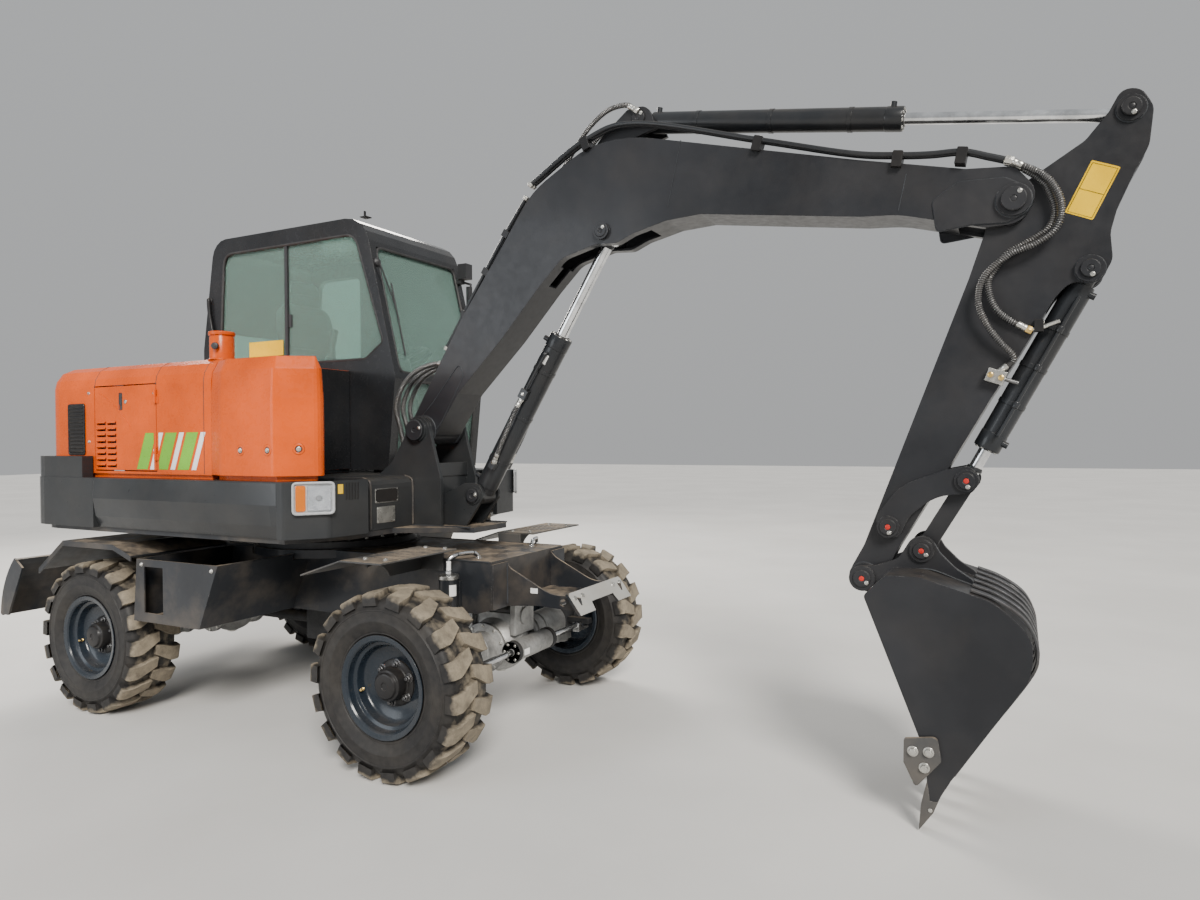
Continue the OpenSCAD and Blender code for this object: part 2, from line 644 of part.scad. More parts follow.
// Rod from inside the barrel's gland to its eye; the eye stays open for the pin that it drifts from
module rod(foot, eye, r, len, y, eye_w, eye_r, eye_bore) {
    d = eye - foot;
    a = atan2(d[1], d[0]);
    translate([foot[0], y, foot[1]]) rotate([0, -a, 0]) difference() {
        union() {
            translate([len - 60, 0, 0]) rotate([0, 90, 0])
                cylinder(r = r, h = norm(d) - len + 60 - eye_r * 0.6, $fn = 48);
            translate([norm(d), 0, 0]) rotate([90, 0, 0])
                cylinder(r = eye_r, h = eye_w, center = true, $fn = 48);
        }
        translate([norm(d), 0, 0]) rotate([90, 0, 0])
            cylinder(r = eye_bore, h = eye_w + 40, center = true, $fn = 48);
    }
}

// House

// Plan of the house behind the front face, inset from the skirt by d
corner_x = swing_x - sqrt(pow(tail_r, 2) - pow(house_w / 2 - 60, 2));
function tail_plan(d, x0, n = 10) = let (r = tail_r - d, w = house_w / 2 - d,
    a = asin((w - 90) / r), cx = swing_x - r * cos(a), rc = 200)
    concat([[x0, -w]], [for (p = fillet([x0, -w], [cx - 20, -w],
        [swing_x - r * cos(a * 0.8), -r * sin(a * 0.8)], rc, 5)) p],
        [for (i = [1 : n - 1]) let (t = a * 0.8 * (2 * i / n - 1)) [swing_x - r * cos(t), r * sin(t)]],
        [for (p = fillet([swing_x - r * cos(a * 0.8), r * sin(a * 0.8)], [cx - 20, w], [x0, w], rc, 5)) p],
        [[x0, w]]);

front_x = -600;
module deck() {
    color(black) {
        slab(concat(tail_plan(skirt_t + 0.3, front_x),
            [[front_x + 110, house_w / 2 - 330], [-190, 190], [-60, 150], [-60, -150],
            [-190, -190], [front_x + 150, -330], [front_x + 150, -house_w / 2 + 330]]), deck_z, deck_top);
        translate([swing_x, 0, frame_top + 44.6]) difference() {
            cylinder(r = ring_r - 60, h = deck_z - frame_top - 44, $fn = 72);
            translate([0, 0, -10]) cylinder(r = ring_r - 130, h = 200, $fn = 72);
        }
    }
}

// Plates that carry the boom's foot and the boom cylinder's foot
bracket_y = 155;
bracket_t = 22;
bracket_outline = [[-720, deck_top + 0.3, 0], [-700, 1300, 0], [-600, 1372, 60], [-505, 1510, 60],
    [-415 - 66, 1590, 60], [-415, 1640, 80], [-415 + 70, 1590, 60], [-300, 1420, 40], [-262, 1290, 20],
    [-262, deck_top + 0.3, 0]];
foot_plate_outline = [[-330, deck_top + 0.3, 0], [-330, 1190, 0], [-170, 1265, 40], [-80, 1268, 50],
    [-42, 1200, 40], [-160, deck_top + 0.3, 0]];
foot_plate_y = 74;
foot_pin_r = 36;
module boom_bracket() {
    color(dark) difference() {
        union() {
            both_sides() {
                plate_xz(outline(bracket_outline), bracket_t, bracket_y);
                pin_y(boom_foot, 62, 16, bracket_y + 16);
                plate_xz(outline(foot_plate_outline), 18, foot_plate_y);
                pin_y(boom_cyl_foot, 46, 10, foot_plate_y + 13);
            }
            // cross plates between the side plates
            block([-340, -bracket_y, 1300], [-316, bracket_y, 1372]);
            block([-600, -bracket_y, 1290], [-330, bracket_y, 1302]);
            block([-340, -bracket_y, deck_top + 0.3], [-322, bracket_y, 1310]);
            // box beside the right plate, with a rolled front edge
            plate_xz(outline([[-690, deck_top + 0.3, 0], [-690, skirt_top, 0], [-448, skirt_top, 55],
                [-448, deck_top + 0.3, 0]]), 340, -bracket_y - 176);
            // the same on the left
            plate_xz(outline([[-690, deck_top + 0.3, 0], [-690, 1240, 0], [-420, 1240, 55],
                [-420, deck_top + 0.3, 0]]), 60, bracket_y + 35);
        }
        both_sides() {
            pin_y(boom_foot, foot_pin_r + pin_gap, 80, bracket_y);
        }
    }
    color(silver) pin_y(boom_cyl_foot, pin_r, 2 * foot_plate_y + 44);
}

// Skirt section, from its lower edge up, with the columns [out from the inner face, height]
skirt_t = 46;
module skirt_wall(y, x0, x1) {
    plate_yz([[y - 110, skirt_top], [y, skirt_top], [y, 1190], [y - 12, 1100], [y - 34, deck_z + 26],
        [y - skirt_t, deck_z + 26], [y - skirt_t, skirt_top - plate], [y - 110, skirt_top - plate]],
        x1 - x0, (x0 + x1) / 2);
}
cw_front = -2000;
module skirts() {
    w = house_w / 2;
    color(dark) {
        skirt_wall(w, cw_front + 0.3, front_x);
        mirror([0, 1, 0]) skirt_wall(w, cw_front + 0.3, front_x);
        // front corners that turn in towards the boom bracket
        for (s = [0, 1]) mirror([0, s, 0])
            slab(outline([[front_x - 1, -w + skirt_t, 0], [front_x - 1, -w, 0],
            [-560, -w, 30], [-430, -w + 160, 60], [-400, -w + 390, 0], [-430, -w + 390, 0],
                [-462, -w + 170, 60],
            [-580, -w + skirt_t, 0]]), deck_z + 26, skirt_top);
        // covers over the deck, between the tank and the boom's bracket and under the cab
        block([-1100, -w + 100, skirt_top - plate], [-730, w - 100, skirt_top]);
        block([-730, cab_right + 110, skirt_top - plate], [front_x, w - 100, skirt_top]);
        block([cw_front + 0.3, cab_right, skirt_top - plate], [-1100, w - 100, skirt_top]);
        for (x = [-1900, -1000], y = [cab_right + 120, cab_left - 160])
            translate([x, y, skirt_top]) cylinder(r = 45, h = 1322 - skirt_top - 0.3, $fn = 32);
    }
}

module counterweight() {
    color(dark) difference() {
        union() {
            slab(tail_plan(0, cw_front), deck_z + 26, skirt_top);
            // ears that rise at the corners
            intersection() {
                slab(tail_plan(4, cw_front - 60), skirt_top - 1, 1422);
                for (s = [-1, 1]) block([-3200, s * 700 - 300, skirt_top],
                    [cw_front - 100, s * 700 + 300, 1450]);
            }
        }
        // hollow under the hood's lower edge
        slab(tail_plan(hood_in - gap, cw_front + 20), skirt_top, 1500);
        translate([swing_x, 0, deck_z]) cylinder(r = tail_r - 430, h = 400, $fn = 96);
        slab(tail_plan(skirt_t, cw_front + 300), deck_z, deck_top + 0.3);
        // room for the cab
        block([cab_rear - 14, cab_right - 10, skirt_top], [0, 1000, 1500]);
    }
}

// Hood: rounded shell over the engine and behind the cab
hood_front = -1130;
lid_x = -2480;
lid_y = 560;
hood_in = 70;
hood_z0 = 1330;
cab_rear = -2446;
function hood_plan(d) = let (p = tail_plan(20 + d, hood_front)) p;
module hood_solid(d) {
    r = 120;
    in = hood_in + d;
    hull() {
        slab(tail_plan(in, hood_front - d), hood_z0 - 4, hood_z0 + 10);
        slab(tail_plan(in, hood_front - d), hood_top - r, hood_top - r + 1);
        slab(tail_plan(in + 8, hood_front - d), hood_top - r * 0.62, hood_top - r * 0.62 + 1);
        slab(tail_plan(in + 35, hood_front - d), hood_top - r * 0.22, hood_top - r * 0.22 + 1);
        slab(tail_plan(in + 80, hood_front - d), hood_top - 1 - d, hood_top - d);
    }
}
// Volume of the lid in the rear of the hood, wider by d all round
module lid_room(d) {
    block([-3200, -lid_y - d, 1200], [lid_x - gap + d, lid_y + d, 2000]);
}
door_x0 = -2085;
door_x1 = -1562;
door_z0 = 1346;
door_z1 = 1800;
hinge_x = door_x1 + gap / 2;
hinge_y = -(house_w / 2 - hood_in);
module hood() {
    color(orange) {
        difference() {
            union() {
                hood_solid(0);
                // lip that rests on the skirts and the counterweight
                slab(tail_plan(hood_in + 14, hood_front - 14), skirt_top + 0.3, hood_z0);
            }
            translate([0, 0, -60]) hood_solid(sheet);
            slab(tail_plan(hood_in + 30, hood_front - 30), skirt_top, hood_z0 + 1);
            // room for the cab
            block([cab_rear - 14, cab_right - 10, 1200], [0, 1000, 2000]);
            // opening of the side door
            block([door_x0 - gap, -1000, door_z0 - gap], [door_x1 + gap, -700, door_z1 + gap]);
            lid_room(gap);
        }
        for (z = hinge_z) hinge_half(hinge_x, hinge_y, z, 1);
        for (y = [-320, 320]) lid_hinge(y, 1);
    }
}
hinge_z = [1400, 1700];
module engine_door() {
    color(orange) {
        difference() {
            intersection() {
                hood_solid(0);
                block([door_x0, -1000, door_z0], [door_x1, -700, door_z1]);
            }
            translate([0, 0, -60]) hood_solid(sheet);
            // two columns of louvres and the slot handle
            for (i = [0 : 7], x = [0, 92]) block([door_x0 + 18 + x, -1000, 1360 + i * 33],
                [door_x0 + 94 + x, -700, 1376 + i * 33]);
            block([door_x0 + 219, -1000, 1675], [door_x0 + 238, -700, 1759]);
        }
        for (z = hinge_z) hinge_half(hinge_x, hinge_y, z + 35, -1);
    }
}
// Hinge half on top of the hood, to the front (way 1) or on the lid (way -1)
module lid_hinge(y, way) {
    side = way > 0 ? y : y + 40.3;
    x = lid_x - gap / 2;
    far = x + way * 30;
    pin_y([x, hood_top + 7], 7, 40, side);
    block([min(x, far), side - 20, hood_top - 1], [max(x, far), side + 20, hood_top + 4]);
}
module rear_lid() {
    color(orange) {
        difference() {
            intersection() {
                hood_solid(0);
                lid_room(0);
            }
            translate([0, 0, -60]) hood_solid(sheet);
            // grilles in the rear face
            for (i = [0 : 8], s = [-1, 1]) block([-3200, s * 290 - 200, 1420 + i * 36],
                [-2650, s * 290 + 200, 1438 + i * 36]);
        }
        for (y = [-320, 320]) lid_hinge(y, -1);
    }
}

// Cover of the tanks at the right front, with a chamfered nose and a crease along its top
tank_plan = [[hood_front + 0.3, -882, 0], [-1003, -930, 120], [-640, -930, 40], [-462, -786, 40],
    [-650, -600, 30], [hood_front + 0.3, -600, 0]];
module tank_cover() {
    color(orange) difference() {
        hull() {
            slab(outline(tank_plan), hood_z0, 1700);
            slab(outline(inset(tank_plan, 8)), 1700, 1840);
            slab(outline(inset(tank_plan, 34)), 1840, 1900);
        }
        slab(outline(inset(tank_plan, 60)), skirt_top, 1800);
    }
    // lip that rests on the skirt
    color(orange) difference() {
        slab(outline(inset(tank_plan, 30)), skirt_top + 0.3, hood_z0 + 1);
        slab(outline(inset(tank_plan, 60)), skirt_top, 1800);
    }
}

module engine() color(silver) {
    block([-2080, -720, deck_top + 0.3], [-1450, -120, 1780]);
}

// Distance of a headlamp's middle in from the skirt
lamp_in = 84;
module headlamps() color(silver) both_sides() translate([-484, lamp_in - house_w / 2, 1228])
    rotate([0, 0, -39]) translate([6.4, 0, 0]) cube([24, 165, 112], center = true);

// Cab

cab_outline = [[-840, 1322, 0], [-780, 1871, 60], [-1010, cab_top, 190], [-2330, cab_top, 130],
    [cab_rear, 2115, 200], [cab_rear, 1322, 0]];
cab_y = (cab_right + cab_left) / 2;
cab_w = cab_left - cab_right;
door_rear = -1760;
door_front = -905;
module cab_window_cuts() {
    // right side
    plate_xz(outline([[-2290, 1985, 60], [-1010, 1985, 60], [-870, 2080, 40], [-1085, 2740, 110],
        [-2240, 2740, 90]]),
        cab_wall * 3, cab_right);
    // left side, behind the door
    plate_xz(outline([[-2290, 1985, 60], [door_rear - 60, 1985, 40], [door_rear - 60, 2700, 60],
        [-2240, 2700, 90]]),
        cab_wall * 3, cab_left);
    // windscreen above, front window below, and the rear window
    block([-1150, cab_right + 55, 1900], [-700, cab_left - 55, 2660]);
    block([-900, cab_right + 60, 1400], [-700, cab_left - 60, 1850]);
    block([-2600, cab_right + 90, 2000], [-2380, cab_left - 90, 2650]);
}
module door_gap(d) {
    plate_xz(outline([[door_rear - d, 1360 - d, 20], [door_front + d, 1360 - d, 20],
        [door_front + 50 + d, 1860, 40],
        [-1060 + d, 2700 + d, 120], [door_rear - d, 2700 + d, 60]]), cab_wall + 20, cab_left);
}
module cab_shell(a, b, y0, y1) {
    // wall between the outline inset by a and by b
    difference() {
        plate_xz(outline(inset(cab_outline, a)), y1 - y0, (y0 + y1) / 2);
        plate_xz(outline(inset(cab_outline, b)), y1 - y0 + 20, (y0 + y1) / 2);
    }
}
cab_hinge_z = [1480, 2460];
module cab_frame() {
    color(black) for (z = cab_hinge_z) hinge_half(door_rear - gap / 2, cab_left, z, -1);
    color(black) difference() {
        plate_xz(outline(cab_outline), cab_w, cab_y);
        plate_xz(outline(inset(cab_outline, cab_wall)), cab_w - 2 * cab_wall, cab_y);
        cab_window_cuts();
        door_gap(gap);
    }
}
module cab_windows() {
    in = (cab_wall - glass_t) / 2;
    color(clear) {
        intersection() {
            plate_xz(outline(cab_outline), glass_t, cab_right + cab_wall / 2);
            plate_xz(outline([[-2289, 1986, 60], [-1011, 1986, 60], [-871, 2081, 40], [-1086, 2739, 110],
                [-2239, 2739, 90]]), cab_wall * 3, cab_right);
        }
        plate_xz(outline([[-2289, 1986, 60], [door_rear - 61, 1986, 40], [door_rear - 61, 2699, 60],
            [-2239, 2699, 90]]), glass_t, cab_left - cab_wall / 2);
        intersection() {
            cab_shell(in, in + glass_t, cab_right + 60.5, cab_left - 60.5);
            union() {
                block([-1150, cab_right + 55.5, 1900.5], [-700, cab_left - 55.5, 2659.5]);
                block([-900, cab_right + 60.5, 1400.5], [-700, cab_left - 60.5, 1849.5]);
                block([-2600, cab_right + 90.5, 2000.5], [-2380, cab_left - 90.5, 2649.5]);
            }
        }
    }
}
door_pane = [[door_rear + 60, 1900, 40], [-900, 1900, 40], [-1075, 2640, 90], [door_rear + 60, 2640, 40]];
module cab_door() {
    color(black) difference() {
        intersection() {
            plate_xz(outline(inset(cab_outline, 14)), cab_wall, cab_left - cab_wall / 2);
            door_gap(0);
        }
        plate_xz(outline(door_pane), cab_wall * 3, cab_left);
    }
    // handle and hinges
    color(silver) block([door_front - 60, cab_left - 1, 1700], [door_front - 40, cab_left + 22, 1800]);
    color(black) for (z = cab_hinge_z) hinge_half(door_rear - gap / 2, cab_left, z + 35, 1);
}
module door_window() color(clear)
    plate_xz(outline(inset(door_pane, 0.5)), glass_t, cab_left - cab_wall / 2);

seat_x = -1680;
module seat() color("#2a2a2d") {
    y = cab_y;
    plate_xz(outline([[seat_x - 230, 1740, 30], [seat_x + 270, 1760, 40], [seat_x + 270, 1850, 40],
        [seat_x - 230, 1830, 30]]), 480, y);
    plate_xz(outline([[seat_x - 250, 1800, 30], [seat_x - 130, 1800, 30], [seat_x - 230, 2440, 50],
        [seat_x - 330, 2430, 50]]), 440, y);
    plate_xz(outline([[seat_x - 335, 2410, 30], [seat_x - 250, 2410, 30], [seat_x - 270, 2600, 40],
        [seat_x - 350, 2600, 40]]), 260, y);
    block([seat_x - 180, y - 180, 1368.3], [seat_x + 180, y + 180, 1760]);
}
module controls() {
    color(black) {
        for (s = [-1, 1]) {
            block([seat_x - 60, cab_y + s * 320 - 55, 1368.3], [seat_x + 330, cab_y + s * 320 + 55, 1960]);
            rod_between([seat_x + 260, cab_y + s * 320, 1955], [seat_x + 300, cab_y + s * 320, 2140], 18);
        }
        block([-1010, cab_y - 70, 1368.3], [-900, cab_y + 70, 1420]);
        rod_between([-960, cab_y, 1415], [-1090, cab_y, 2010], 38);
        translate([-1095, cab_y, 2020]) rotate([0, -20, 0]) {
            rotate_extrude($fn = 48) translate([175, 0]) circle(r = 15, $fn = 16);
            block([-175, -18, -8], [175, 18, 8]);
        }
    }
}
// Front face of the cab at height z, above the bend in its pillars
function cab_front(z) = -780 - (z - 1871) * 230 / (cab_top - 1871);
module cab_fittings() {
    x = cab_front(2560) + 0.3;
    color(black) {
        // bracket on the left front pillar with a work lamp and a mirror
        block([x, cab_left - 60, 2560], [x + 34, cab_left - 10, 2590]);
        block([x + 20, cab_left - 70, 2588], [x + 90, cab_left, 2690]);
        tube([[x + 26, cab_left - 30, 2575], [x + 70, cab_left + 8, 2560],
            [x + 74, cab_left + 10, 2330]], 8);
        block([x + 60, cab_left - 30, 2340], [x + 82, cab_left + 10, 2540]);
    }
}
module handrail() {
    rail_r = 13;
    y = cab_right - rail_r - 1.15;
    color(black) tube([[-2264, y, 2128], [-2325, y, 2198], [-2362, y, 2333], [-2374, y, 2449]], rail_r);
    color(orange) translate([-1215, -746, hood_top + 0.3]) {
        cylinder(r = 60, h = 124, $fn = 40);
        cylinder(r = 54, h = 148, $fn = 40);
    }
}

// Boom

boom_outline = [[-60, 75, 60], [231, 333, 900], [409, 488, 900], [700, 705, 500], [1009, 945, 420],
    [1361, 1022, 420],
    [1586, 968, 700], [boom_len - 480, 400, 0], [boom_len - 360, 330, 60], [boom_len - 120, 189, 0],
    [boom_len + 40, 125, 60], [boom_len + 92, 0, 80], [boom_len, -92, 80], [boom_len - 120, -60, 120],
    [boom_len - 400, 119, 500], [boom_len - 540, 172, 0], [1804, 471, 0], [1640, 511, 120], [1466, 522, 60],
    [1374, 512, 70], [1269, 552, 60], [1075, 560, 120], [912, 475, 300], [624, 303, 500], [275, 120, 0],
    [62, -52, 40], [-30, -75, 50], [-85, 0, 60]];
boom_foot_w = 2 * (bracket_y - bracket_t / 2) - 2 * 2;
eye_room = 175;
module boom() {
    pts = [for (p = outline(boom_outline)) on_boom(p)];
    inner = [for (p = outline(inset(boom_outline, plate))) on_boom(p)];
    color(dark) difference() {
        union() {
            plate_xz(pts, boom_w);
            pin_y(boom_foot, boss_r, boom_foot_w);
            pin_y(arm_pivot, 62, boom_w + 44);
            // bracket of the arm cylinder
            both_sides() plate_xz([for (p = outline([[1330, 985, 0], [1440, 1050, 60], [1600, 1112, 40],
                [1700, 1085, 60], [1712, 960, 0]])) on_boom(p)], 18, 65);
        }
        plate_xz(inner, boom_w - 2 * plate);
        // pocket over the boom cylinder's eye
        plate_xz([for (p = [[1000, 300], [1560, 300], [1540, 560], [1450, 596 + eye_room],
            [1190, 596 + eye_room],
            [1040, 600]]) on_boom(p)], 124);
        // groove that the boom cylinder's rod swings into when the boom is high
        plate_xz([for (p = [[925, 380], [1060, 380], [1060, 650], [925, 560]]) on_boom(p)],
            2 * (boom_rod_r + gap));
        // fork that takes the arm's head
        plate_xz([for (p = [[boom_len - 210, -300], [boom_len + 300, -300], [boom_len + 300, 400],
            [boom_len - 210, 400]]) on_boom(p)], arm_w + 2 * gap);
    }
    color(silver) {
        pin_y(boom_foot, foot_pin_r, 2 * (bracket_y + 26) + 8);
        pin_y(arm_pivot, pin_r, boom_w + 70);
        pin_y(arm_cyl_foot, pin_r, 160);
        both_sides() pin_y(boom_cyl_eye, 40, 36, boom_w / 2);
    }
}
// Two steel pipes along the right edge of the boom's top, on clamps cut to the boom's outline
pipe_r = 11;
// Along the straight stretch of the boom's back, given for the real boom's 923 mm and stretched with it
back_start = 1586;
function straight(x) = back_start + (x - back_start) * (boom_len - 480 - back_start) / 923;
pipe_path = [[1009, 975], [1361, 1052], [1639, 1005], [straight(2148), 668], [straight(2481), 443],
    [boom_len - 333, 350], [boom_len - 222, 300], [boom_len - 111, 258], [boom_len - 32, 200],
    [boom_len + 32, 150]];
module boom_pipes() {
    color(black) for (y = [-92, -119])
        tube([for (p = pipe_path) let (q = on_boom(p)) [q[0], y, q[1]]], pipe_r);
    color(black) difference() {
        for (i = [1 : 2 : 8]) let (q = on_boom(pipe_path[i] - [0, 20])) pin_y(q, 30, 44, -104);
        plate_xz([for (p = outline(inset(boom_outline, -0.3))) on_boom(p)], boom_w + 0.6);
    }
}

boom_barrel_len = 960;
arm_barrel_len = 1195;
bucket_barrel_len = round(norm(link_pin - bucket_cyl_foot) - 142);
rod_eye_r = 46;
rod_eye_bore = pin_r + 6;
module boom_barrel() color(dark)
    barrel(boom_cyl_foot, boom_cyl_eye, boom_barrel_r, boom_barrel_len, 0, 116, 50, 500);
module boom_rod() color(silver)
    rod(boom_cyl_foot, boom_cyl_eye, boom_rod_r, boom_barrel_len, 0, 90, rod_eye_r, rod_eye_bore);
module arm_barrel() color(dark)
    barrel(arm_cyl_foot, arm_cyl_eye, arm_barrel_r, arm_barrel_len, 0, 80, 44, 800);
module arm_rod() color(silver)
    rod(arm_cyl_foot, arm_cyl_eye, arm_rod_r, arm_barrel_len, 0, 76, rod_eye_r, rod_eye_bore);
module bucket_barrel() color(dark)
    barrel(bucket_cyl_foot, link_pin, arm_barrel_r, bucket_barrel_len, 0, 80, 44, bucket_barrel_len - 100);
module bucket_rod() color(silver)
    rod(bucket_cyl_foot, link_pin, arm_rod_r, bucket_barrel_len, 0, 76, rod_eye_r - 6, pin_r + 4);

// Arm

arm_outline = [[-470, 200, 60], [-385, 190, 0], [-271, 152, 80], [-75, 4, 120], [20, -72, 90],
    [112, -60, 150],
    [318, -51, 0], [arm_len - 124, -47, 200], [arm_len + 20, -66, 60], [arm_len + 66, 20, 60],
        [arm_len - 20, 70, 60],
    [arm_len - 160, 82, 120], [arm_len - 500, 138, 500], [738, 190, 300], [569, 222, 0],
        [306, 263, 200], [232, 292, 60],
    [215, 385, 70], [120, 395, 70], [30, 352, 120], [-56, 342, 0], [-189, 347, 120], [-296, 358, 100],
        [-430, 322, 70],
    [-485, 260, 60]];
module arm() {
    pts = [for (p = outline(arm_outline)) on_arm(p)];
    inner = [for (p = outline(inset(arm_outline, plate))) on_arm(p)];
    color(dark) difference() {
        union() {
            plate_xz(pts, arm_w);
            pin_y(bucket_pin, 58, arm_w + 40);
            pin_y(rocker_pin, 46, arm_w + 16);
            pin_y(bucket_cyl_foot, 50, arm_w + 36);
            pin_y(arm_cyl_eye, 48, arm_w + 24);
        }
        plate_xz(inner, arm_w - 2 * plate);
        // fork of the arm cylinder at the head, and of the bucket cylinder below it
        plate_xz([for (p = [[-700, 0], [-700, 500], [-250, 500], [-210, 250], [-250, 0]]) on_arm(p)], 96);
        plate_xz([for (p = [[60, 260], [60, 500], [360, 500], [360, 235]]) on_arm(p)], 104);
        pin_y(arm_pivot, pin_r + pin_gap, 400);
        pin_y(bucket_pin, pin_r + pin_gap, 400);
        pin_y(rocker_pin, pin_r + pin_gap, 400);
    }
    color(silver) {
        pin_y(bucket_cyl_foot, pin_r, arm_w + 50);
        both_sides() pin_y(arm_cyl_eye, pin_r, 36, arm_w / 2 + 6);
    }
}

// Bent side bars that turn on the arm and carry the rod's eye and the link
rocker_y = arm_w / 2 + 8 + gap + 12;
module rocker() {
    d = link_pin - rocker_pin;
    a = atan2(d[1], d[0]);
    len = norm(d);
    bar = outline([[-50, 0, 45], [-20, 60, 45], [130, 118, 200], [len - 40, 78, 60], [len + 40, 46, 40],
        [len + 52, -20, 40],
        [len - 10, -54, 40], [len - 130, 12, 200], [90, -8, 100], [20, -56, 40], [-40, -40, 30]]);
    pts = [for (p = bar) rocker_pin + turn(p, a)];
    color(dark) {
        both_sides() {
            plate_xz(pts, 24, rocker_y);
            pin_y(rocker_pin, 44, 36, rocker_y + 6);
            pin_y(link_pin, 44, 36, rocker_y + 6);
        }
    }
    color(silver) {
        pin_y(rocker_pin, pin_r, 2 * rocker_y + 52);
        both_sides() pin_y(link_pin, pin_r, rocker_y + 28 - 44, (rocker_y + 28 + 44) / 2);
    }
}
// Link between the rocker's eye and the bucket's ears
link_w = 118;
module link() {
    d = ear_pin - link_pin;
    a = atan2(d[1], d[0]);
    len = norm(d);
    pts = [for (p = outline([[-40, -36, 36], [-40, 40, 40], [60, 36, 60], [len - 60, 36, 60],
        [len + 46, 42, 40], [len + 46, -42, 40], [len - 60, -30, 60], [60, -30, 60]])) link_pin + turn(p, a)];
    color(dark) difference() {
        plate_xz(pts, link_w);
        // slot between the link's two cheeks for the rod's eye
        plate_xz([for (p = [[-100, -100], [110, -100], [110, 100], [-100, 100]]) link_pin + turn(p, a)],
            82);
        pin_y(link_pin, pin_r + pin_gap, 300);
        pin_y(ear_pin, pin_r + 6, 300);
    }
}

// Bucket

// Side outline with the columns [along the line to the tooth tips, out, corner radius]
bucket_outline = [[40, 30, 20], [-20, 130, 40], [10, 250, 60], [150, 480, 190], [300, 575, 170],
    [440, 520, 170],
    [766, 164, 0], [bucket_len - 100, 95, 0], [bucket_len - 105, 70, 0], [626, 96, 0]];
ear_outline = [[-52, 0, 48], [-40, 60, 50], [-50, 160, 60], [-120, 230, 50], [-118, 300, 50],
    [-40, 320, 50],
    [30, 360, 120], [120, 440, 60], [120, 330, 60], [60, 130, 0], [60, 0, 40], [0, -58, 50]];
ear_y = link_w / 2 + gap + 12;
pin_ear_y = arm_w / 2 + 20 + gap + 14;
module bucket() {
    pts = [for (p = outline(bucket_outline)) on_bucket(p)];
    inner = [for (p = outline(inset(bucket_outline, bucket_t))) on_bucket(p)];
    ears = [for (p = outline(ear_outline)) on_bucket(p)];
    color(dark) difference() {
        union() {
            difference() {
                union() {
                    plate_xz(pts, bucket_w);
                    both_sides() plate_xz(ears, 24, pin_ear_y);
                }
                plate_xz(inner, bucket_w - 2 * bucket_t);
                // open mouth
                plate_xz([for (p = [[90, -200], [90, 120], [640, 170], [752, 149], [bucket_len - 112, 75],
                    [bucket_len - 106, -200]]) on_bucket(p)], bucket_w - 2 * bucket_t);
            }
            both_sides() pin_y(bucket_pin, 52, 14, pin_ear_y + 18);
            both_sides() pin_y(ear_pin, 46, 14, pin_ear_y + 18);
            both_sides() pin_y(ear_pin, 46, pin_ear_y - ear_y, (pin_ear_y + ear_y) / 2);
        }
        // room for the arm's end to turn between the ears
        pin_y(bucket_pin, 114 + gap, arm_w + 40 + 2 * gap);
    }
    color(silver) {
        pin_y(bucket_pin, pin_r, 2 * pin_ear_y + 56);
        both_sides() pin_y(ear_pin, pin_r, pin_ear_y + 30 - link_w / 2 - gap,
            (pin_ear_y + 30 + link_w / 2 + gap) / 2);
    }
}
module bucket_teeth() {
    tooth = outline([[bucket_len - 170, 150, 0], [bucket_len - 60, 70, 0], [bucket_len, 0, 0],
        [bucket_len - 100, 36, 0],
        [bucket_len - 190, 84, 0]]);
    color(dark) {
        // teeth that straddle the lip
        difference() {
            for (i = [0 : tooth_count - 1]) plate_xz([for (p = tooth) on_bucket(p)], 60,
                -(bucket_w - 60) / 2 + i * (bucket_w - 60) / (tooth_count - 1));
            plate_xz([for (p = outline(inset(bucket_outline, -0.3))) on_bucket(p)], bucket_w + 0.4);
        }
        // side cutters bolted ahead of the side plates
        both_sides() plate_xz([for (p = outline([[590, 40, 10], [676, 16, 10], [775, 34, 10],
            [690, 150, 10],
            [600, 160, 20]])) on_bucket(p)], 16, bucket_w / 2 + 8.3);
    }
}

chassis_frame();
front_bracket();
slew_ring();
front_steps();
rear_mudguards();
side_boxes();
front_axle();
rear_axle();
driveline();
lock_cylinders();
knuckle_left();
knuckle_right();
steer_rod();
at_wheel(true, true) tyre();  // tyre_front_left
at_wheel(true, false) tyre();  // tyre_front_right
at_wheel(false, true) tyre();  // tyre_rear_left
at_wheel(false, false) tyre();  // tyre_rear_right
at_wheel(true, true) rim();  // rim_front_left
at_wheel(true, false) rim();  // rim_front_right
at_wheel(false, true) rim();  // rim_rear_left
at_wheel(false, false) rim();  // rim_rear_right
blade();
blade_barrels();
blade_rods();
deck();
boom_bracket();
skirts();
counterweight();
hood();
tank_cover();
engine();
headlamps();
engine_door();
rear_lid();
cab_frame();
cab_windows();
cab_door();
door_window();
seat();
controls();
cab_fittings();
handrail();
boom();
boom_pipes();
foot_hoses();
arm_hoses();
cylinder_hoses();
boom_barrel();
boom_rod();
arm();
arm_barrel();
arm_rod();
bucket_barrel();
bucket_rod();
rocker();
link();
bucket();
bucket_teeth();
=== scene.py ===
"""Looks of a wheeled excavator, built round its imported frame.

Every length is in metres in the machine's own frame: X forward, Y to the left, Z up, with the origin on the
ground under the front axle. Each sub-assembly is a class; each finish is a frozen dataclass.
"""

import logging
import math
from dataclasses import dataclass
from enum import Enum
from typing import Iterable, Optional, Sequence

import bpy
from mathutils import Matrix, Vector


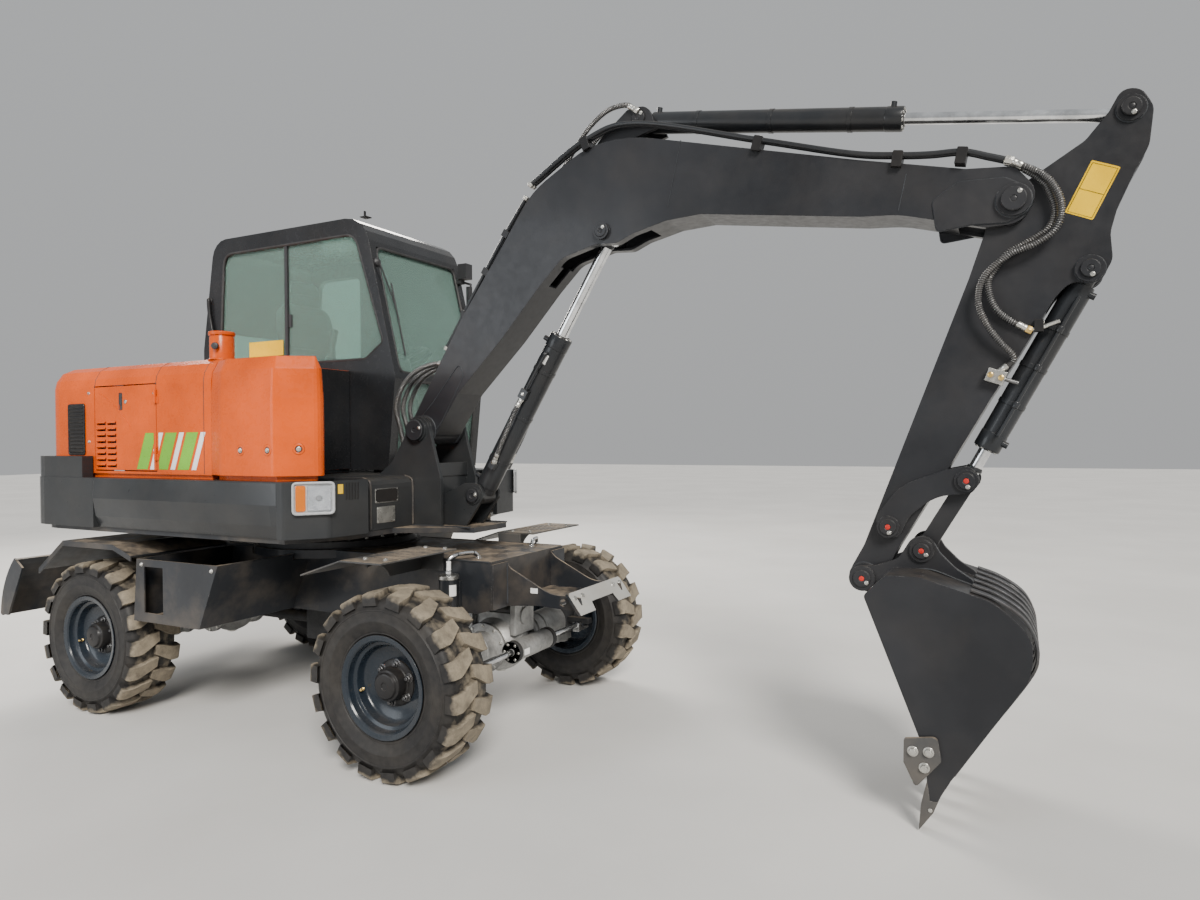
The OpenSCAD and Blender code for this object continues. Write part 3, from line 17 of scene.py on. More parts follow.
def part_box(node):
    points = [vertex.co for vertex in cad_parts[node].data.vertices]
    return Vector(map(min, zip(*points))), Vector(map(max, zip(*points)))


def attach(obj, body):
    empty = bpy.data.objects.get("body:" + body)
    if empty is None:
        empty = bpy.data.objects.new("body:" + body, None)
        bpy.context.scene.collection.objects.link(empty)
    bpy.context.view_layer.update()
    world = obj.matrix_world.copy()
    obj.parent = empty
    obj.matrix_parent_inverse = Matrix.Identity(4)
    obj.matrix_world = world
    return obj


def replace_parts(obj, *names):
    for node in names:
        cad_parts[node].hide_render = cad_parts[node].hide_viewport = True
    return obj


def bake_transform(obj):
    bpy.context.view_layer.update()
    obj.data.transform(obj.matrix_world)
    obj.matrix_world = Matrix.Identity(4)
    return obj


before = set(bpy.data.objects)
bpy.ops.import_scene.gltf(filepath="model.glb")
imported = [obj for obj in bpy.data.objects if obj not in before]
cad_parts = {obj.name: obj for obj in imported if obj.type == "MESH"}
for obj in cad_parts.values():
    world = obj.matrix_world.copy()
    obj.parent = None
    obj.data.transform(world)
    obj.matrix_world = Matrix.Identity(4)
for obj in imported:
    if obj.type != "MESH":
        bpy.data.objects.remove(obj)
log = logging.getLogger("excavator")

Flat = tuple[float, float]
Point = tuple[float, float, float]
Colour = tuple[float, float, float]
Socket = bpy.types.NodeSocket


class Side(Enum):
    """Left or right of the machine, as the sign of Y."""

    LEFT = 1
    RIGHT = -1


class Axle(Enum):
    """Front or rear axle, as the letter that its wheels' bodies carry."""

    FRONT = "f"
    REAR = "r"


# Shading


class Graph:
    """Node tree of one material, with short ways to add its usual nodes."""

    def __init__(self, name: str) -> None:
        """Start a material.

        Args:
            name: the material's name.
        """
        self.material = bpy.data.materials.new(name)
        self.material.use_nodes = True
        self.tree = self.material.node_tree
        self.tree.nodes.clear()
        self.shader = self.node("ShaderNodeBsdfPrincipled")
        out = self.node("ShaderNodeOutputMaterial")
        self.tree.links.new(self.shader.outputs[0], out.inputs[0])
        coordinates = self.node("ShaderNodeTexCoord")
        self.place = coordinates.outputs["Object"]
        self.facing = coordinates.outputs["Normal"]

    def node(self, kind: str, **settings: object) -> bpy.types.Node:
        """Add a node.

        Args:
            kind: the node's type.
            settings: values of the node's own properties.

        Returns:
            The new node.
        """
        made = self.tree.nodes.new(kind)
        for name, value in settings.items():
            setattr(made, name, value)
        return made

    def put(self, target: Socket, value: object) -> None:
        """Link a socket to another, or set its value.

        Args:
            target: the input socket.
            value: an output socket, a number or a colour.
        """
        if isinstance(value, bpy.types.NodeSocket):
            self.tree.links.new(value, target)
        elif isinstance(value, tuple) and len(value) == 3 and target.type == "RGBA":
            target.default_value = (*value, 1.0)
        else:
            target.default_value = value

    def noise(self, scale: float, detail: float = 4.0, rough: float = 0.55,
              stretch: Optional[Point] = None) -> Socket:
        """Return a noise of the surface's place.

        Args:
            scale: waves in a metre.
            detail: octaves.
            rough: strength of each finer octave.
            stretch: scale of each axis, for grain that runs one way.

        Returns:
            The noise's value, from about 0.2 to 0.8.
        """
        made = self.node("ShaderNodeTexNoise")
        made.inputs["Scale"].default_value = scale
        made.inputs["Detail"].default_value = detail
        made.inputs["Roughness"].default_value = rough
        source = self.place
        if stretch is not None:
            mapping = self.node("ShaderNodeMapping")
            mapping.inputs["Scale"].default_value = stretch
            self.put(mapping.inputs["Vector"], self.place)
            source = mapping.outputs[0]
        self.put(made.inputs["Vector"], source)
        return made.outputs["Fac"]

    def cells(self, scale: float) -> Socket:
        """Return the distance to the nearest point of a random field.

        Args:
            scale: points in a metre.

        Returns:
            The distance, in steps of the field.
        """
        made = self.node("ShaderNodeTexVoronoi")
        made.inputs["Scale"].default_value = scale
        self.put(made.inputs["Vector"], self.place)
        return made.outputs["Distance"]

    def span(self, value: Socket, low: float, high: float, start: float = 0.0, end: float = 1.0) -> Socket:
        """Return a value moved from one range into another, and clamped there.

        Args:
            value: the value.
            low: start of its own range.
            high: end of its own range.
            start: what low becomes.
            end: what high becomes.

        Returns:
            The moved value.
        """
        made = self.node("ShaderNodeMapRange")
        for name, number in zip(("From Min", "From Max", "To Min", "To Max"), (low, high, start, end)):
            made.inputs[name].default_value = number
        self.put(made.inputs["Value"], value)
        return made.outputs["Result"]

    def sums(self, operation: str, a: object, b: object) -> Socket:
        """Return the result of a Math node.

        Args:
            operation: the node's operation.
            a: first value.
            b: second value.

        Returns:
            The result.
        """
        made = self.node("ShaderNodeMath", operation=operation)
        self.put(made.inputs[0], a)
        self.put(made.inputs[1], b)
        return made.outputs[0]

    def blend(self, share: object, a: object, b: object) -> Socket:
        """Mix two colours.

        Args:
            share: share of the second one.
            a: first colour.
            b: second colour.

        Returns:
            The mixed colour.
        """
        made = self.node("ShaderNodeMix", data_type="RGBA")
        self.put(made.inputs["Factor"], share)
        self.put(made.inputs["A"], a)
        self.put(made.inputs["B"], b)
        return made.outputs["Result"]

    def height(self, value: Socket, strength: float, distance: float,
               normal: Optional[Socket] = None) -> Socket:
        """Return the normal of a bumped surface.

        Args:
            value: height of the bumps.
            strength: from 0 to 1.
            distance: height of the bumps in metres.
            normal: the normal to start from.

        Returns:
            The bumped normal.
        """
        made = self.node("ShaderNodeBump")
        made.inputs["Strength"].default_value = strength
        made.inputs["Distance"].default_value = distance
        self.put(made.inputs["Height"], value)
        if normal is not None:
            self.put(made.inputs["Normal"], normal)
        return made.outputs["Normal"]

    def soft_edge(self, radius: float) -> tuple[Socket, Socket]:
        """Round the look of sharp edges.

        Args:
            radius: radius of the rounding in metres.

        Returns:
            The rounded normal, and a mask that is 1 on edges and 0 on flats.
        """
        rounded = self.node("ShaderNodeBevel", samples=4)
        rounded.inputs["Radius"].default_value = radius
        flat = self.node("ShaderNodeNewGeometry").outputs["Normal"]
        dot = self.node("ShaderNodeVectorMath", operation="DOT_PRODUCT")
        self.put(dot.inputs[0], rounded.outputs[0])
        self.put(dot.inputs[1], flat)
        return rounded.outputs[0], self.span(dot.outputs["Value"], 0.985, 0.86)

    def upward(self, start: float = 0.35, full: float = 0.95) -> Socket:
        """Return a mask of what faces up.

        Args:
            start: upward part of the normal at which the mask leaves 0.
            full: upward part at which it is 1.

        Returns:
            The mask.
        """
        split = self.node("ShaderNodeSeparateXYZ")
        self.put(split.inputs[0], self.facing)
        return self.span(split.outputs["Z"], start, full)

    def finish(self, colour: object, roughness: object, normal: Optional[Socket] = None,
               **fixed: object) -> bpy.types.Material:
        """Fill the shader.

        Args:
            colour: base colour.
            roughness: roughness.
            normal: the surface's normal.
            fixed: other inputs of the shader by name, with underscores for spaces.

        Returns:
            The finished material.
        """
        self.put(self.shader.inputs["Base Color"], colour)
        self.put(self.shader.inputs["Roughness"], roughness)
        if normal is not None:
            self.put(self.shader.inputs["Normal"], normal)
        for name, value in fixed.items():
            self.put(self.shader.inputs[name.replace("_", " ")], value)
        return self.material


DUST: Colour = (0.33, 0.26, 0.185)
BARE_STEEL: Colour = (0.36, 0.35, 0.34)


@dataclass(frozen=True)
class Paint:
    """Sprayed machine paint with colour drift, fine peel, settled dust and rubbed edges."""

    name: str
    colour: Colour
    roughness: float = 0.38
    coat: float = 0.25
    dust: float = 0.25
    wear: float = 0.3
    peel: float = 0.00008

    def material(self) -> bpy.types.Material:
        """Return the paint's material."""
        g = Graph(self.name)
        normal, edge = g.soft_edge(0.004)
        dark = tuple(0.82 * c for c in self.colour)
        light = tuple(min(1.0, 1.14 * c + 0.004) for c in self.colour)
        drift = g.span(g.noise(2.3, 5.0), 0.35, 0.65)
        colour = g.blend(drift, dark, light)
        speck = g.span(g.noise(95.0, 3.0), 0.52, 0.7)
        rubbed = g.sums("MULTIPLY", g.sums("MULTIPLY", edge, speck), self.wear)
        colour = g.blend(rubbed, colour, BARE_STEEL)
        cloud = g.span(g.noise(7.0, 8.0, 0.7), 0.38, 0.66)
        settled = g.sums("MULTIPLY", g.sums("MULTIPLY", g.upward(), cloud), self.dust)
        film = g.sums("MULTIPLY", g.span(g.noise(3.1, 6.0, 0.6), 0.45, 0.75), self.dust * 0.25)
        dusty = g.sums("MAXIMUM", settled, film)
        colour = g.blend(dusty, colour, DUST)
        matt = g.sums("ADD",
                      g.span(g.noise(31.0, 5.0), 0.3, 0.7, self.roughness - 0.06, self.roughness + 0.07),
                      g.sums("MULTIPLY", dusty, 0.5))
        normal = g.height(g.noise(240.0, 2.0), 0.35, self.peel, normal)
        return g.finish(colour, matt, normal, Coat_Weight=self.coat, Coat_Roughness=0.12,
                        Specular_IOR_Level=0.24)


@dataclass(frozen=True)
class Steel:
    """Bare or plated metal with brushed grain, a film of dirt, and edges painted towards pale grey as a
    painted highlight.
    """

    name: str
    colour: Colour
    roughness: float = 0.3
    grain: Point = (1.0, 1.0, 1.0)
    relief: float = 0.0002
    dirt: float = 0.25

    def material(self) -> bpy.types.Material:
        """Return the metal's material."""
        g = Graph(self.name)
        normal, edge = g.soft_edge(0.0025)
        dark = tuple(0.72 * c for c in self.colour)
        light = tuple(min(1.0, 1.1 * c) for c in self.colour)
        colour = g.blend(g.span(g.noise(14.0, 6.0), 0.35, 0.65), dark, light)
        stain = g.sums("MULTIPLY", g.span(g.noise(9.0, 8.0, 0.7), 0.5, 0.75), self.dirt)
        colour = g.blend(stain, colour, (0.10, 0.085, 0.07))
        # painted highlight: every edge is blended evenly towards pale grey
        colour = g.blend(g.sums("MULTIPLY", edge, 0.35), colour, (0.7, 0.7, 0.69))
        brushed = g.noise(120.0, 4.0, 0.6, self.grain)
        matt = g.sums("ADD", g.span(brushed, 0.3, 0.7, self.roughness - 0.08, self.roughness + 0.1),
                      g.sums("MULTIPLY", stain, 0.6))
        return g.finish(colour, matt, g.height(brushed, 0.4, self.relief, normal), Metallic=0.95)


@dataclass(frozen=True)
class Casting:
    """Cast metal: sandy, cloudy and dull, with edges painted lighter as a painted highlight."""

    name: str
    colour: Colour
    roughness: float = 0.55
    metallic: float = 0.55
    dust: float = 0.3

    def material(self) -> bpy.types.Material:
        """Return the casting's material."""
        g = Graph(self.name)
        normal, edge = g.soft_edge(0.006)
        dark = tuple(0.6 * c for c in self.colour)
        light = tuple(min(1.0, 1.15 * c) for c in self.colour)
        colour = g.blend(g.span(g.noise(11.0, 8.0, 0.7), 0.35, 0.65), dark, light)
        # painted highlight: every edge is blended evenly into the lighter copy of the colour
        colour = g.blend(g.sums("MULTIPLY", edge, 0.3), colour, light)
        dusty = g.sums("MULTIPLY", g.upward(0.1, 0.9), g.span(g.noise(8.0, 6.0), 0.35, 0.7, 0.0, self.dust))
        colour = g.blend(dusty, colour, DUST)
        sand = g.noise(260.0, 5.0, 0.65)
        normal = g.height(sand, 0.55, 0.0012, normal)
        normal = g.height(g.noise(28.0, 3.0), 0.4, 0.004, normal)
        matt = g.span(sand, 0.3, 0.7, self.roughness - 0.1, self.roughness + 0.15)
        return g.finish(colour, matt, normal, Metallic=self.metallic)


@dataclass(frozen=True)
class Rubber:
    """Black rubber, with tan dust where asked."""

    name: str
    colour: Colour = (0.018, 0.018, 0.019)
    roughness: float = 0.62
    dust: float = 0.15

    def material(self) -> bpy.types.Material:
        """Return the rubber's material."""
        g = Graph(self.name)
        light = tuple(1.7 * c + 0.004 for c in self.colour)
        colour = g.blend(g.span(g.noise(18.0, 6.0), 0.35, 0.7), self.colour, light)
        dusty = g.span(g.noise(6.0, 8.0, 0.7), 0.42, 0.75, 0.0, self.dust)
        colour = g.blend(dusty, colour, DUST)
        matt = g.span(g.noise(60.0, 4.0), 0.3, 0.7, self.roughness - 0.1, self.roughness + 0.12)
        return g.finish(colour, matt, g.height(g.noise(300.0, 3.0), 0.4, 0.0005))


@dataclass(frozen=True)
class TreadRubber:
    """Tyre rubber: clean black sidewall, tan road dust that grows towards the tread."""

    name: str
    hub: Point
    clean_radius: float
    tread_radius: float

    def material(self) -> bpy.types.Material:
        """Return the tyre's material."""
        g = Graph(self.name)
        offset = g.node("ShaderNodeVectorMath", operation="SUBTRACT")
        g.put(offset.inputs[0], g.place)
        g.put(offset.inputs[1], self.hub)
        flat = g.node("ShaderNodeVectorMath", operation="MULTIPLY")
        g.put(flat.inputs[0], offset.outputs[0])
        flat.inputs[1].default_value = (1.0, 0.0, 1.0)
        length = g.node("ShaderNodeVectorMath", operation="LENGTH")
        g.put(length.inputs[0], flat.outputs[0])
        radius = g.sums("ADD", length.outputs["Value"], g.span(g.noise(22.0, 6.0), 0.3, 0.7, -0.012, 0.012))
        tread = g.span(radius, self.clean_radius, self.tread_radius)
        patch = g.span(g.noise(16.0, 8.0, 0.75), 0.25, 0.62, 0.35, 0.95)
        dusty = g.sums("MULTIPLY", tread, patch)
        film = g.span(g.noise(5.0, 6.0), 0.4, 0.8, 0.01, 0.07)
        rubber = g.blend(g.span(g.noise(30.0, 5.0), 0.35, 0.65), (0.011, 0.011, 0.012),
                         (0.022, 0.021, 0.021))
        colour = g.blend(g.sums("MAXIMUM", dusty, film), rubber, (0.29, 0.245, 0.18))
        matt = g.sums("ADD", 0.52, g.sums("MULTIPLY", dusty, 0.4))
        normal = g.height(g.noise(190.0, 4.0, 0.6), 0.5, 0.0012)
        return g.finish(colour, matt, normal, Specular_IOR_Level=0.25)


@dataclass(frozen=True)
class Glass:
    """Tinted window pane or clear lens with faint smears."""

    name: str
    colour: Colour
    roughness: float = 0.02
    clear: float = 0.85

    def material(self) -> bpy.types.Material:
        """Return the glass's material."""
        g = Graph(self.name)
        smear = g.span(g.noise(4.0, 6.0, 0.65, (1.0, 1.0, 0.35)), 0.45, 0.8, self.roughness,
                       self.roughness + 0.1)
        normal = g.height(g.noise(1.6, 2.0), 0.08, 0.002)
        made = g.finish(self.colour, smear, normal, Transmission_Weight=self.clear, IOR=1.2,
                        Specular_IOR_Level=0.6)
        made.blend_method = "BLEND"
        return made


@dataclass(frozen=True)
class Moulded:
    """Moulded plastic with leather-like grain, and edges painted lighter as a painted highlight."""

    name: str
    colour: Colour
    roughness: float = 0.5
    grain: float = 0.0008

    def material(self) -> bpy.types.Material:
        """Return the plastic's material."""
        g = Graph(self.name)
        normal, edge = g.soft_edge(0.002)
        light = tuple(min(1.0, 1.25 * c + 0.003) for c in self.colour)
        colour = g.blend(g.span(g.noise(12.0, 5.0), 0.35, 0.7), self.colour, light)
        # painted highlight: every edge is blended evenly into the lighter copy of the colour
        colour = g.blend(g.sums("MULTIPLY", edge, 0.2), colour, light)
        matt = g.span(g.noise(70.0, 5.0), 0.3, 0.7, self.roughness - 0.08, self.roughness + 0.1)
        return g.finish(colour, matt, g.height(g.cells(420.0), 0.45, self.grain, normal))


@dataclass(frozen=True)
class Cloth:
    """Woven seat cloth with crossing threads and a soft sheen."""

    name: str
    colour: Colour
    threads: float = 700.0

    def material(self) -> bpy.types.Material:
        """Return the cloth's material."""
        g = Graph(self.name)
        waves = []
        for direction in ("X", "Z"):
            wave = g.node("ShaderNodeTexWave", bands_direction=direction)
            wave.inputs["Scale"].default_value = self.threads / 20
            wave.inputs["Distortion"].default_value = 0.6
            g.put(wave.inputs["Vector"], g.place)
            waves.append(wave.outputs["Fac"])
        weave = g.sums("MAXIMUM", *waves)
        light = tuple(min(1.0, 1.8 * c + 0.01) for c in self.colour)
        colour = g.blend(weave, self.colour, light)
        colour = g.blend(g.span(g.noise(9.0, 5.0), 0.4, 0.8, 0.0, 0.25), colour, light)
        return g.finish(colour, g.span(weave, 0.0, 1.0, 0.95, 0.8), g.height(weave, 0.5, 0.001),
                        Sheen_Weight=0.35)


CHARCOAL: Colour = (0.019, 0.021, 0.025)


class Look(Enum):
    """Every finish of the machine."""

    FRAME = Paint("frame_coat", CHARCOAL, coat=0.1, dust=0.95, wear=0.4)
    BOOM = Paint("boom_coat", (0.017, 0.018, 0.021), roughness=0.36, coat=0.1, dust=0.12, wear=0.4)
    HOOD = Paint("hood_coat", (0.60, 0.078, 0.0002), roughness=0.28, coat=0.08, dust=0.04, wear=0.02,
                 peel=0.00004)
    SKIRT = Paint("skirt_coat", (0.021, 0.023, 0.025), roughness=0.33, coat=0.15, dust=0.12, wear=0.15)
    CAB = Paint("cab_coat", (0.014, 0.015, 0.017), roughness=0.24, coat=0.3, dust=0.1, wear=0.1)
    RIM = Paint("rim_coat", (0.012, 0.018, 0.026), roughness=0.26, coat=0.3, dust=0.1, wear=0.15)
    BLACK = Paint("black_paint", (0.009, 0.009, 0.010), roughness=0.4, coat=0.1, dust=0.15, wear=0.2)
    CYLINDER = Paint("cylinder_coat", (0.015, 0.017, 0.020), roughness=0.34, coat=0.25, dust=0.12, wear=0.3)
    PALE = Paint("primer_paint", (0.42, 0.42, 0.40), roughness=0.5, coat=0.0, dust=0.45, wear=0.3)
    YELLOW = Paint("yellow_sticker", (0.90, 0.55, 0.004), roughness=0.3, dust=0.0, wear=0.0, peel=0.0001)
    RED = Paint("red_cap", (0.5, 0.02, 0.012), roughness=0.4, dust=0.1)
    STEP = Paint("step_paint", (0.060, 0.060, 0.060), roughness=0.5, coat=0.05, dust=0.85, wear=0.6)
    CHROME = Steel("rod_plating", (0.78, 0.79, 0.80), roughness=0.12, relief=0.00003, dirt=0.06)
    ZINC = Steel("zinc_fitting", (0.62, 0.61, 0.57), roughness=0.3, dirt=0.25)
    NUT = Steel("wheel_nut", (0.10, 0.10, 0.105), roughness=0.4, dirt=0.4)
    BRASS = Steel("brass_fitting", (0.72, 0.50, 0.18), roughness=0.3, dirt=0.2)
    WEAR = Steel("worn_steel", (0.12, 0.12, 0.125), roughness=0.45, relief=0.0006, dirt=0.5)
    AXLE = Casting("axle_casting", (0.42, 0.42, 0.41))
    IRON = Casting("black_casting", (0.035, 0.036, 0.038), metallic=0.3)
    SPRING = Steel("guard_spring", (0.22, 0.22, 0.22), roughness=0.4, relief=0.00005, dirt=0.4)
    WELD = Casting("weld_bead", (0.036, 0.040, 0.046), roughness=0.5, metallic=0.2, dust=0.05)
    LIME = Paint("green_sticker", (0.16, 0.42, 0.025), roughness=0.3, dust=0.02, wear=0.0, peel=0.0001)
    WHITE = Paint("white_sticker", (0.80, 0.80, 0.78), roughness=0.3, dust=0.04, wear=0.0, peel=0.0001)
    HOSE = Rubber("hose_skin", roughness=0.55)
    SEAL = Rubber("seal_rubber", dust=0.05)
    PANE = Glass("cab_pane", (0.55, 0.78, 0.70))
    LENS = Glass("lamp_pane", (0.95, 0.97, 1.0), clear=0.95)
    CLEAR = Moulded("lamp_body", (0.36, 0.37, 0.38), roughness=0.25, grain=0.0001)
    AMBER = Glass("amber_lens", (1.0, 0.32, 0.03), clear=0.6, roughness=0.08)
    PLASTIC = Moulded("trim_moulding", (0.02, 0.02, 0.022))
    KNOB = Moulded("lever_plastic", (0.04, 0.04, 0.042), roughness=0.3)
    FABRIC = Cloth("seat_cloth", (0.03, 0.031, 0.034))

    @property
    def material(self) -> bpy.types.Material:
        """The finish's material, made when it is first asked for."""
        if self not in MADE:
            MADE[self] = self.value.material()
        return MADE[self]


MADE: dict[Look, bpy.types.Material] = {}


# Shapes


def facing(spot: Sequence[float], direction: Sequence[float], turn: float = 0.0) -> Matrix:
    """Place a shape whose own Z axis points along a direction.

    Args:
        spot: where the shape's origin goes.
        direction: where its Z axis points.
        turn: turn about that axis, in degrees.

    Returns:
        The placing matrix.
    """
    spin = Matrix.Rotation(math.radians(turn), 4, "Z")
    aim = Vector(direction).to_track_quat("Z", "Y").to_matrix().to_4x4()
    return Matrix.Translation(Vector(spot)) @ aim @ spin


def polar(radius: float, angle: float) -> Flat:
    """Return the point at a radius and an angle in radians."""
    return radius * math.cos(angle), radius * math.sin(angle)


def turns(count: int, share: float = 0.0) -> list[float]:
    """Return count angles round a circle, of which the first is share of a step on."""
    return [math.tau * (i + share) / count for i in range(count)]


def rectangle(low: Flat, high: Flat) -> list[Flat]:
    """Return the outline of a rectangle between two corners."""
    return [low, (high[0], low[1]), high, (low[0], high[1])]


def tube_faces(rings: int, sides: int) -> list[tuple[int, ...]]:
    """Join rings of corners into a closed tube.

    Args:
        rings: how many rings there are.
        sides: corners of each ring.

    Returns:
        The faces, of which the last two close its ends.
    """
    faces: list[tuple[int, ...]] = []
    for k in range(rings - 1):
        for i in range(sides):
            j = (i + 1) % sides
            faces.append((k * sides + i, k * sides + j, (k + 1) * sides + j, (k + 1) * sides + i))
    faces.append(tuple(range(sides))[::-1])
    faces.append(tuple(range((rings - 1) * sides, rings * sides)))
    return faces


# turns the XY plane of an outline into the machine's XZ plane
SIDEWAYS = Matrix(((1, 0, 0, 0), (0, 0, -1, 0), (0, 1, 0, 0), (0, 0, 0, 1)))


class Form:
    """Mesh under construction: corners, faces, and the number of each face's finish."""

    def __init__(self) -> None:
        """Start empty."""
        self.points: list[Vector] = []
        self.faces: list[tuple[int, ...]] = []
        self.slots: list[int] = []

    def add(self, points: Iterable[Sequence[float]], faces: Iterable[Sequence[int]],
            place: Matrix = Matrix(), slot: int = 0) -> "Form":
        """Add corners and faces.

        Args:
            points: the corners.
            faces: corner numbers of each face.
            place: where the shape goes.
            slot: number of its finish.

        Returns:
            This form.
        """
        start = len(self.points)
        self.points += [place @ Vector(p) for p in points]
        flip = place.determinant() < 0
        for face in faces:
            numbers = tuple(start + i for i in face)
            self.faces.append(numbers[::-1] if flip else numbers)
            self.slots.append(slot)
        return self

    def merge(self, other: "Form", place: Matrix = Matrix()) -> "Form":
        """Add another form's mesh.

        Args:
            other: the other form; its finishes keep their numbers.
            place: where it goes.

        Returns:
            This form.
        """
        start = len(self.faces)
        self.add(other.points, other.faces, place)
        self.slots[start:] = other.slots
        return self

    def prism(self, outline: Sequence[Flat], low: float, high: float, place: Matrix = Matrix(),
              slot: int = 0) -> "Form":
        """Raise a flat outline into a block.

        Args:
            outline: its corners.
            low: height of its underside along its own Z.
            high: height of its top.
            place: where the shape goes.
            slot: number of its finish.

        Returns:
            This form.
        """
        n = len(outline)
        area = sum(a[0] * b[1] - b[0] * a[1] for a, b in zip(outline, [*outline[1:], outline[0]]))
        run = list(outline) if area > 0 else list(outline)[::-1]
        points = [(x, y, z) for z in (low, high) for x, y in run]
        faces = [tuple(range(n))[::-1], tuple(range(n, 2 * n))]
        faces += [(i, (i + 1) % n, n + (i + 1) % n, n + i) for i in range(n)]
        return self.add(points, faces, place, slot)

    def plate(self, outline: Sequence[Flat], y0: float, y1: float, slot: int = 0) -> "Form":
        """Add an outline of the XZ plane as a plate from y0 to y1."""
        low, high = sorted((y0, y1))
        return self.prism(outline, -high, -low, SIDEWAYS, slot)

    def box(self, low: Sequence[float], high: Sequence[float], place: Matrix = Matrix(),
            slot: int = 0) -> "Form":
        """Add a block between two corners."""
        return self.prism(rectangle(low[:2], high[:2]), low[2], high[2], place, slot)

    def lathe(self, profile: Sequence[Flat], steps: int, place: Matrix = Matrix(), slot: int = 0) -> "Form":
        """Turn a profile about its own Z, and close both ends with flat discs.

        Args:
            profile: (radius, height) of its points, from the bottom up.
            steps: sides of each circle.
            place: where the shape goes.
            slot: number of its finish.

        Returns:
            This form.
        """
        points = [(*polar(r, a), h) for r, h in profile for a in turns(steps)]
        faces = tube_faces(len(profile), steps)
        return self.add(points, faces, place, slot)

    def ring(self, profile: Sequence[Flat], steps: int, place: Matrix = Matrix(), slot: int = 0) -> "Form":
        """Turn a closed profile about its own Z.

        Args:
            profile: (radius, height) of its points, once round the section.
            steps: sides of each circle.
            place: where the shape goes.
            slot: number of its finish.

        Returns:
            This form.
        """
        n = len(profile)
        points = [(*polar(r, a), h) for r, h in profile for a in turns(steps)]
        faces = [(k * steps + i, k * steps + (i + 1) % steps, (k + 1) % n * steps + (i + 1) % steps,
                  (k + 1) % n * steps + i) for k in range(n) for i in range(steps)]
        return self.add(points, faces, place, slot)

    def tube(self, path: Sequence[Sequence[float]], radius: float, sides: int = 12,
             slot: int = 0) -> "Form":
        """Sweep a circle along a path.

        Args:
            path: the points of its middle line.
            radius: radius of the circle.
            sides: sides of the circle.
            slot: number of its finish.

        Returns:
            This form.
        """
        spots = [Vector(p) for p in path]
        ways = [(b - a).normalized() for a, b in zip([spots[0], *spots[:-1]], [*spots[1:], spots[-1]])]
        across = ways[0].orthogonal().normalized()
        points: list[Vector] = []
        for spot, way in zip(spots, ways):
            across = (across - way * across.dot(way)).normalized()
            other = way.cross(across)
            points += [spot + radius * (math.cos(a) * across + math.sin(a) * other) for a in turns(sides)]
        return self.add(points, tube_faces(len(spots), sides), slot=slot)

    def bolt(self, spot: Sequence[float], direction: Sequence[float], size: float, slot: int = 0,
             turn: float = 0.0) -> "Form":
        """Add a hexagon bolt head on its washer.

        Args:
            spot: where it stands.
            direction: where its head points.
            size: width across its corners.
            slot: number of its finish.
            turn: turn about its own axis, in degrees.

        Returns:
            This form.
        """
        place = facing(spot, direction, turn)
        r = size / 2
        self.lathe([(r * 1.35, -0.001), (r * 1.35, r * 0.16), (r * 1.2, r * 0.22)], 20, place, slot)
        return self.lathe([(r, r * 0.2), (r, r * 0.78), (r * 0.86, r * 0.94)], 6, place, slot)


def spline(points: Sequence[Sequence[float]], steps: int = 8) -> list[Vector]:
    """Smooth a path.

    Args:
        points: the points that it passes through.
        steps: pieces between two of them.

    Returns:
        The points of the smooth path.
    """
    spots = [Vector(p) for p in points]
    padded = [2 * spots[0] - spots[1], *spots, 2 * spots[-1] - spots[-2]]
    path: list[Vector] = []
    for a, b, c, d in zip(padded, padded[1:], padded[2:], padded[3:]):
        for i in range(steps):
            t = i / steps
            path.append(0.5 * (2 * b + (c - a) * t + (2 * a - 5 * b + 4 * c - d) * t * t
                               + (3 * b - a - 3 * c + d) * t ** 3))
    return [*path, spots[-1]]


def piece(name: str, form: Form, looks: Sequence[Look], body: Optional[str], smooth: float = 32.0,
          bevel: float = 0.0) -> bpy.types.Object:
    """Make a form into an object.

    Args:
        name: the piece's name.
        form: its mesh.
        looks: the finish of each slot.
        body: the body that it rides on, or None where it spans two bodies and is left unattached.
        smooth: edges flatter than this many degrees are shaded smooth.
        bevel: width of a bevel on its sharp edges.

    Returns:
        The object.
    """
    mesh = bpy.data.meshes.new(name)
    mesh.from_pydata([tuple(p) for p in form.points], [], form.faces)
    mesh.polygons.foreach_set("material_index", form.slots)
    mesh.polygons.foreach_set("use_smooth", [True] * len(form.faces))
    mesh.set_sharp_from_angle(angle=math.radians(smooth))
    for look in looks:
        mesh.materials.append(look.material)
    made = bpy.data.objects.new(name, mesh)
    bpy.context.scene.collection.objects.link(made)
    if bevel:
        rounding = made.modifiers.new("rounding", "BEVEL")
        rounding.width = bevel
        rounding.segments = 2
        rounding.limit_method = "ANGLE"
        rounding.angle_limit = math.radians(smooth)
        rounding.harden_normals = True
    if body is not None:
        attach(made, body)
    log.info("%s: %d faces on %s", name, len(form.faces), body)
    return made


# Wheels


